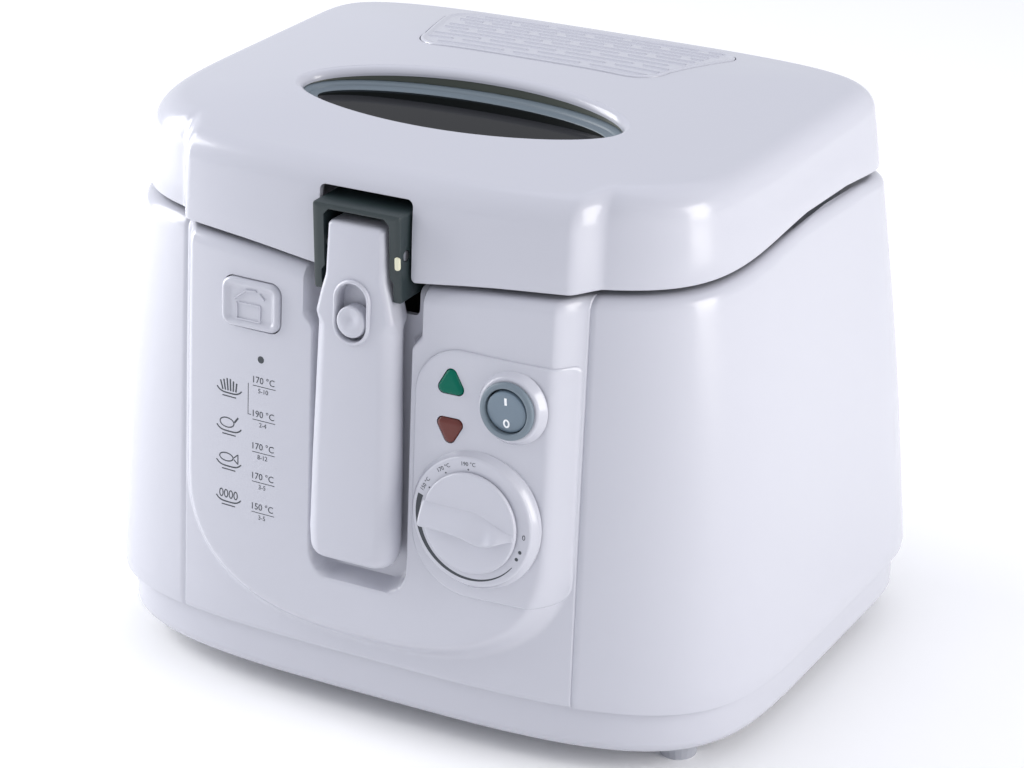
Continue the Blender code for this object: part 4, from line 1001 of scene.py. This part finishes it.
cream = finish("cream acetal", "D9D8BE", 0.35, grain=0.8, height=0.006)
pad("pivot_cap", pin_cap, soft_edge(0.8 * MM, 0.5 * MM), beside_bracket, "housing", cream,
    slot="ceramic")
print("handle:", len(grip.data.polygons), "faces")

# %% [markdown]
# ## Thermostat knob
#
# A thin disc turns on the dial boss.  Across it runs the grip, which is a wedge: it slopes up
# gently from its upper edge, ends in a crest, and drops steeply below it.  The crest sags
# slightly under a thumb bump near the pointed end, and the blunt end overhangs the disc.

# %% Knob, switch, lenses and release button
KNOB_R, DISC_LOW, DISC_TOP = 20.2 * MM, BOSS_H + 0.4 * MM, BOSS_H + 2.3 * MM
disc = [(KNOB_R - 0.3 * MM, DISC_LOW), (KNOB_R, DISC_LOW + 0.3 * MM), (KNOB_R, DISC_TOP - 1 * MM)]
disc += round_edge(KNOB_R, DISC_TOP, 1.0 * MM, 0.0, 7)[1:]
disc += [(KNOB_R - 2.0 * MM, DISC_TOP + 0.02 * MM)]
pad("knob_disc", circle(KNOB_R, 144), turned_profile(disc), dial, "thermostat_knob", satin_abs,
    stands_for=("knob",), slot="white_plastic")


def knob_grip():
    """Sections across the grip from the blunt end to the point.

    Each section climbs from the upper foot at share 0 to the crest at share 1 and drops behind
    it; the foot, the crest and the crest's height are smooth functions of the way along.
    """
    u = np.concatenate([[-21.0], np.linspace(-21.0, -19.3, 8), np.linspace(-18.4, 19.6, 60),
                        [19.6]])
    end = np.sqrt(np.clip(1 - ((-19.3 - u) / 1.75) ** 2, 0.02, 1)) * (u < -19.3) + (u >= -19.3)
    foot = 5.4 - 5.6 * ease((u - 1.0) / 18.6)
    crest = -3.4 - 2.6 * np.exp(-((u - 7.0) / 8.0) ** 2) + 0.8 * ease((u - 9.0) / 10.6)
    tall = 4.8 - 1.7 * ease((u + 2.0) / 16.0) + 1.6 * np.exp(-((u - 12.5) / 3.2) ** 2)
    tall *= 1.0 - 0.75 * ease((u - 14.0) / 6.0)
    share = np.array((-0.03, 0.0, 0.05, 0.14, 0.26, 0.38, 0.50, 0.62, 0.74, 0.84, 0.91, 0.97,
                      1.02, 1.06, 1.10, 1.13, 1.13))
    lift = np.array((-0.06, 0.0, 0.10, 0.24, 0.40, 0.55, 0.69, 0.81, 0.91, 0.97, 1.00, 0.99,
                     0.93, 0.80, 0.58, 0.26, -0.06))
    middle = (foot + crest) / 2
    v = foot[:, None] + (crest - foot)[:, None] * share
    v = middle[:, None] + (v - middle[:, None]) * (0.62 + 0.38 * end[:, None])
    height = (tall * end)[:, None] * lift - 0.05
    rows = dial(u[:, None] * MM, v * MM, DISC_TOP + height * MM)
    for index in (0, -1):
        rows[index] = rows[index].mean(axis=0)
    return rows


ring_piece("knob_grip", knob_grip(), "thermostat_knob", satin_abs, slot="white_plastic",
           corner=62.0)

# The bezel and barrel of the round switch, turned in one piece.
bezel = [(10.5, -9.0), (10.5, 4.9), (11.5, 4.95), (11.6, 5.9), (11.3, 6.5), (10.8, 6.8),
         (9.6, 7.0), (9.2, 6.8), (9.05, 6.4), (9.0, 1.2)]
bezel = [(radius * MM, height * MM) for radius, height in bezel]
pad("switch_bezel", circle(bezel[0][0], 96), turned_profile(bezel), switch, "housing",
    grey_nylon, stands_for=("switch_housing",), slot="grey_plastic")
ROCKER_TILT = math.radians(8.0)


def on_rocker(across, up, out=0.0):
    """The rocker's own frame: tipped so that its lower half is pressed in."""
    across, up, out = np.broadcast_arrays(across, up, out)
    origin = on_face(np.float64(SWITCH_X), np.float64(SWITCH_Z), 3.5 * MM)
    lean = DRAFT - ROCKER_TILT
    outward = np.array((0.0, -math.cos(lean), math.sin(lean)))
    upward = np.array((0.0, math.sin(lean), math.cos(lean)))
    right = across[..., None] * np.array((1.0, 0.0, 0.0))
    return origin + right + up[..., None] * upward + out[..., None] * outward


rocker_rows = [(0.0, -2.4 * MM), (0.0, 2.0 * MM), (0.2 * MM, 2.5 * MM), (0.7 * MM, 2.75 * MM),
               (1.4 * MM, 2.8 * MM)]
pad("rocker", circle(8.5 * MM, 80), rocker_rows, on_rocker, "rocker", pad_nylon,
    stands_for=("rocker_pad",), slot="grey_plastic")
zero = circle(1.0, 40) * np.array((1.05 * MM, 1.45 * MM))
zero_line = np.concatenate([zero, zero[:2]]) + np.array((0.0, -4.6 * MM))
one_line = np.array(((0.0, 3.1), (0.0, 4.6), (0.0, 6.1))) * MM
strokes_piece("rocker_marks", [stroke(zero_line, 0.7 * MM, 2.7 * MM, 2.90 * MM, on_rocker),
                               stroke(one_line, 1.0 * MM, 2.7 * MM, 2.90 * MM, on_rocker)],
              "rocker", white_ink)

dome = [(0.0, -3.4 * MM), (0.0, 1.25 * MM), (0.25 * MM, 1.65 * MM), (0.7 * MM, 1.95 * MM),
        (1.3 * MM, 2.15 * MM), (2.0 * MM, 2.25 * MM)]
for colour, z, turn, skin in (("green", GREEN_Z, 0.0, green_lens), ("red", RED_Z, math.pi,
                                                                     red_lens)):
    pad(f"{colour}_jewel", lens_outline(LENS_R, turn), dome, leaning_frame(LENS_X, z),
        "housing", skin, stands_for=(f"{colour}_lens",), slot=f"{colour}_lens")

button = [(0.0, -5.0 * MM), (0.0, 0.6 * MM), (0.3 * MM, 1.3 * MM), (0.9 * MM, 1.85 * MM),
          (1.6 * MM, 2.0 * MM), (2.3 * MM, 1.85 * MM), (3.0 * MM, 1.35 * MM),
          (3.5 * MM, 1.1 * MM), (4.0 * MM, 1.0 * MM)]
release = leaning_frame(RELEASE_X, RELEASE_Z)
pad("release_key", outline_box(BUTTON_W, BUTTON_H, BUTTON_R), button, release, "release",
    white_abs, stands_for=("release_button",), slot="white_plastic")
tub = np.array(((-6.2, 0.2), (-6.2, -6.4), (4.6, -6.4), (4.6, 0.2), (-5.2, 0.2))) * MM
left_flap = np.array(((-7.4, 1.6), (-2.2, 5.6), (2.8, 6.0))) * MM
right_flap = np.array(((4.4, 5.2), (6.6, 3.0))) * MM


def dense(points, per=10):
    """Extra points along each leg of a line, so that bends stay local."""
    share = np.linspace(0.0, 1.0, per, endpoint=False)[:, None]
    legs = [a + (b - a) * share for a, b in zip(points[:-1], points[1:])]
    return np.concatenate(legs + [points[-1:]])


strokes_piece("release_sign", [stroke(dense(line), 1.1 * MM, 0.7 * MM, 1.7 * MM, release, 0.45)
                               for line in (tub, left_flap, right_flap)],
              "release", white_abs, slot="white_plastic")
print("controls done")

# %% [markdown]
# ## Printing
#
# The dial's figures, its wedge-shaped arc and dots, and the cooking guide are printed in thin
# ink.  Figures come from a text curve made into a mesh; every other sign is a ribbon.

# %% Printed signs
def letters(name, text, size, place, at, turn, body, skin=ink, out=0.0):
    """Printed figures: a text curve's mesh, turned, moved and laid on a surface."""
    curve = bpy.data.curves.new(name, "FONT")
    curve.body = text
    curve.size = size
    curve.align_x, curve.align_y = "CENTER", "CENTER"
    curve.extrude = 0.03 * MM
    curve.resolution_u = 3
    holder = bpy.data.objects.new(name, curve)
    bpy.context.scene.collection.objects.link(holder)
    bpy.context.view_layer.update()
    flat = bpy.data.meshes.new_from_object(
        holder.evaluated_get(bpy.context.evaluated_depsgraph_get()))
    bpy.data.objects.remove(holder)
    points = np.empty(len(flat.vertices) * 3)
    flat.vertices.foreach_get("co", points)
    points = points.reshape(-1, 3)
    faces = [tuple(face.vertices) for face in flat.polygons]
    c, s = math.cos(turn), math.sin(turn)
    across = at[0] + points[:, 0] * c - points[:, 1] * s
    up = at[1] + points[:, 0] * s + points[:, 1] * c
    return piece(name, place(across, up, out + points[:, 2]), faces, body, skin)


PRINT = 0.04 * MM
for text, clock in (("150 °C", 151.0), ("170 °C", 123.0), ("190 °C", 95.0)):
    angle = math.radians(clock)
    spot = 23.6 * MM * np.array((math.cos(angle), math.sin(angle)))
    letters(f"figure_{text[:3]}", text, 2.3 * MM, dial, spot, angle - math.pi / 2, "housing",
            out=BOSS_H + PRINT)
    dot = 21.5 * MM * np.array((math.cos(angle), math.sin(angle)))
    pad(f"dot_{text[:3]}", circle(0.35 * MM, 16) + dot, [(0.0, BOSS_H), (0.0, BOSS_H + PRINT)],
        dial, "housing", ink, fill=3)
letters("figure_0", "0", 3.0 * MM, dial, np.array((23.3, -1.2)) * MM, 0.0, "housing",
        out=BOSS_H + PRINT)
for index, clock in enumerate((-19.0, -27.5)):
    angle = math.radians(clock)
    dot = 23.1 * MM * np.array((math.cos(angle), math.sin(angle)))
    pad(f"dial_dot_{index + 1}", circle(0.75 * MM, 24) + dot,
        [(0.0, BOSS_H), (0.0, BOSS_H + PRINT)], dial, "housing", ink, fill=3)
sweep = np.radians(np.linspace(163.0, 322.0, 90))
arc_r, arc_w = 23.6 * MM, np.interp(sweep, (sweep[0], sweep[-1]), (1.15 * MM, 0.15 * MM))
heading = np.stack([np.cos(sweep), np.sin(sweep)], axis=-1)
arc_rows = np.stack([dial(*(heading * (arc_r + side * arc_w)[:, None]).T, BOSS_H + up)
                     for side, up in ((-1, 0.0), (1, 0.0), (1, PRINT), (-1, PRINT))], axis=1)
ends = [np.repeat(arc_rows[k].mean(axis=0)[None], 4, axis=0)[None] for k in (0, -1)]
ring_piece("dial_arc", np.concatenate([ends[0], arc_rows, ends[1]]), "housing", ink)


def printed(across, up, out=0.0):
    """The shield's face as a place for ink: across is x and up is z."""
    return on_face(across, up, out)


def ribbon_line(points, width):
    """A printed line along points given in mm."""
    return stroke(dense(np.asarray(points, float) * MM, 6), width * MM, -0.01 * MM, PRINT,
                  printed)


def loop(centre_x, centre_z, half_x, half_z, count=28):
    """Points of a closed oval in mm, for a line icon."""
    angle = np.linspace(0.0, 2 * math.pi * (count + 1) / count, count + 2)
    return np.stack([centre_x + half_x * np.cos(angle), centre_z + half_z * np.sin(angle)], -1)


# Four foods of the cooking guide as line icons, each over a shallow dish.
ICON_X = -61.8
guide = []
for z in (134.6, 118.4, 103.4, 88.0):
    dish = np.linspace(-6.2, 6.2, 13)
    guide.append(ribbon_line(np.stack([ICON_X + dish, z + (dish / 6.2) ** 4 * 1.9], -1), 0.6))
    guide.append(ribbon_line([(ICON_X - 3.4, z - 1.4), (ICON_X + 3.4, z - 1.4)], 0.5))
for k in (-3.2, -1.9, -0.6, 0.7, 2.0, 3.3):
    guide.append(ribbon_line([(ICON_X + k, 135.6), (ICON_X + 1.25 * k - 0.4, 141.0 - abs(k) * 0.5)],
                             0.7))
guide.append(ribbon_line(loop(ICON_X - 1.0, 122.0, 3.5, 2.0), 0.5))
guide.append(ribbon_line([(ICON_X + 2.7, 122.6), (ICON_X + 4.6, 125.0)], 0.8))
guide.append(ribbon_line(loop(ICON_X - 1.2, 107.2, 3.4, 1.7), 0.5))
guide.append(ribbon_line([(ICON_X + 2.6, 107.6), (ICON_X + 4.6, 109.3), (ICON_X + 4.6, 105.2),
                          (ICON_X + 2.6, 106.8)], 0.5))
for k in (-3.6, -1.2, 1.2, 3.6):
    guide.append(ribbon_line(loop(ICON_X + k, 91.4, 0.85, 1.6), 0.5))
# A thin rule parts each temperature from its minutes, and a bracket joins the first two rows.
for z in (140.6, 126.3, 112.6, 99.9, 86.8):
    guide.append(ribbon_line([(-50.2, z), (-39.2, z)], 0.3))
guide.append(ribbon_line([(-52.4, 141.0), (-52.4, 128.0), (-50.9, 128.0)], 0.3))
strokes_piece("cooking_guide", guide, "housing", ink)
figures = (("170 °C", 143.0), ("5-10", 138.6), ("190 °C", 128.7), ("2-4", 124.3),
           ("170 °C", 115.0), ("8-12", 110.6), ("170 °C", 102.3), ("3-5", 97.9),
           ("150 °C", 89.2), ("3-5", 84.8))
for row, (text, height) in enumerate(figures):
    letters(f"guide_{row + 1}", text, (3.9 - row % 2 * 1.2) * MM, printed,
            np.array((-45.2, height)) * MM, 0.0, "housing", out=PRINT)
pad("guide_dot", circle(1.5 * MM, 32) + np.array((-46.4, 151.9)) * MM, [(0.0, 0.0), (0.0, PRINT)],
    printed, "housing", ink, fill=3)
print("printing done")

# %% [markdown]
# ## Frying basket
#
# The basket hangs in the bowl and is only seen with the lid open.  It is woven from steel wire:
# uprights every few millimetres run down the wall and under the floor, hoops go round them,
# and a thicker wire closes the rim.

# %% Wire basket
def wire(points, radius, closed=False, sides=6):
    """Rings of a round wire along points, with a pole at each end unless it is closed."""
    points = np.asarray(points, float)
    if closed:
        along = np.roll(points, -1, axis=0) - np.roll(points, 1, axis=0)
    else:
        along = np.gradient(points, axis=0)
    along /= np.linalg.norm(along, axis=1, keepdims=True) + 1e-12
    across = np.cross(along, np.array((0.31, 0.17, 0.93)))
    across /= np.linalg.norm(across, axis=1, keepdims=True) + 1e-12
    third = np.cross(along, across)
    angle = np.linspace(0.0, 2 * math.pi, sides, endpoint=False)[None, :, None]
    rings = points[:, None] + radius * (np.cos(angle) * across[:, None]
                                        + np.sin(angle) * third[:, None])
    if closed:
        return np.concatenate([rings, rings[:1]])
    ends = [np.repeat(points[k][None], sides, axis=0)[None] for k in (0, -1)]
    return np.concatenate([ends[0], rings, ends[1]])


basket_low, basket_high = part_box("basket")
WIRE, RIM_WIRE = 0.6 * MM, 1.3 * MM
tub_z = np.array((basket_low.z + WIRE, basket_low.z + 3 * MM, basket_low.z + 10 * MM,
                  basket_high.z - RIM_WIRE))
tub_inset = np.array((49.5, 41.5, 39.5, 35.0)) * MM


def tub_ring(height, count):
    """The basket's outline at a height: the lid seam's plan, drawn in more towards the floor."""
    around = (np.arange(count) + 0.5) * 2 * math.pi / count
    return plan_point(around, height, np.interp(height, tub_z, tub_inset), LID_Z)


wires = [wire(tub_ring(z, 160), WIRE, True)
         for z in np.linspace(tub_z[1], tub_z[3] - 5 * MM, 13)]
wires.append(wire(tub_ring(tub_z[3], 200), RIM_WIRE, True, 10))
climb = np.concatenate([tub_z[:3], np.linspace(tub_z[2], tub_z[3], 7)[1:]])
uprights = np.stack([tub_ring(z, 96) for z in climb], axis=1)
wires += [wire(line, WIRE) for line in uprights]
floor_ring = tub_ring(tub_z[0], 96)
for first, second in zip(floor_ring[:48], floor_ring[::-1][:48]):
    share = np.linspace(0.0, 1.0, 5)[:, None]
    wires.append(wire(first + (second - first) * share, WIRE))
strokes_piece("wire_basket", wires, "frying_basket", bright_steel, stands_for=("basket",),
              slot="steel")
print("wires in the basket:", len(wires))

# %% [markdown]
# ## Floor, light and camera
#
# A pale sweep under soft studio light: a broad cool light overhead, and two tall soft boxes at
# the sides, which light the flanks and draw bright edges while the front stays in half shade.

# %% Stage
floor_mesh = bpy.data.meshes.new("floor")
SWEEP = 4.0                # half the floor's side
floor_mesh.from_pydata([(x * SWEEP, y * SWEEP, 0) for x, y in
                        ((-1, -1), (1, -1), (1, 1), (-1, 1))], [], [(0, 1, 2, 3)])
floor = bpy.data.objects.new("floor", floor_mesh)
bpy.context.scene.collection.objects.link(floor)
floor_mesh.materials.append(finish("matt white sweep", "FAFAFA", 0.8, grain=5.0, height=0.01))

world = bpy.data.worlds.new("studio")
bpy.context.scene.world = world
world.use_nodes = True
world.node_tree.nodes["Background"].inputs["Color"].default_value = linear("EEF0F8")
world.node_tree.nodes["Background"].inputs["Strength"].default_value = 0.85


def soft_box(name, at, size, power, colour):
    """A rectangular area light that faces the fryer."""
    light = bpy.data.lights.new(name, "AREA")
    light.shape = "RECTANGLE"
    light.size, light.size_y = size
    light.energy = power
    light.color = linear(colour)[:3]
    obj = bpy.data.objects.new(name, light)
    obj.location = at
    aim = Vector((0.0, 0.0, 0.12)) - Vector(at)
    obj.rotation_euler = aim.to_track_quat("-Z", "Y").to_euler()
    bpy.context.scene.collection.objects.link(obj)
    return obj


soft_box("left_box", (-1.35, -0.25, 0.52), (0.7, 1.4), 22.0, "FFFFFF")
soft_box("right_box", (1.5, -0.05, 0.5), (0.6, 1.3), 15.0, "FFFCF8")
soft_box("top_box", (0.1, 0.5, 1.5), (1.4, 1.0), 2.5, "F0F2FF")
bpy.context.scene.view_settings.view_transform = "Standard"

AZIMUTH, ELEVATION, DISTANCE = math.radians(28.99), math.radians(23.06), 1.323
target = Vector((0.0, 0.0123, 0.110))
camera_data = bpy.data.cameras.new("camera")
camera_data.sensor_width = 36.0
camera_data.lens = 109.3
camera_data.shift_y = -0.0091
camera = bpy.data.objects.new("camera", camera_data)
camera.location = target + DISTANCE * Vector((math.sin(AZIMUTH) * math.cos(ELEVATION),
                                              -math.cos(AZIMUTH) * math.cos(ELEVATION),
                                              math.sin(ELEVATION)))
camera.rotation_euler = (target - camera.location).to_track_quat("-Z", "Y").to_euler()
bpy.context.scene.collection.objects.link(camera)
bpy.context.scene.camera = camera
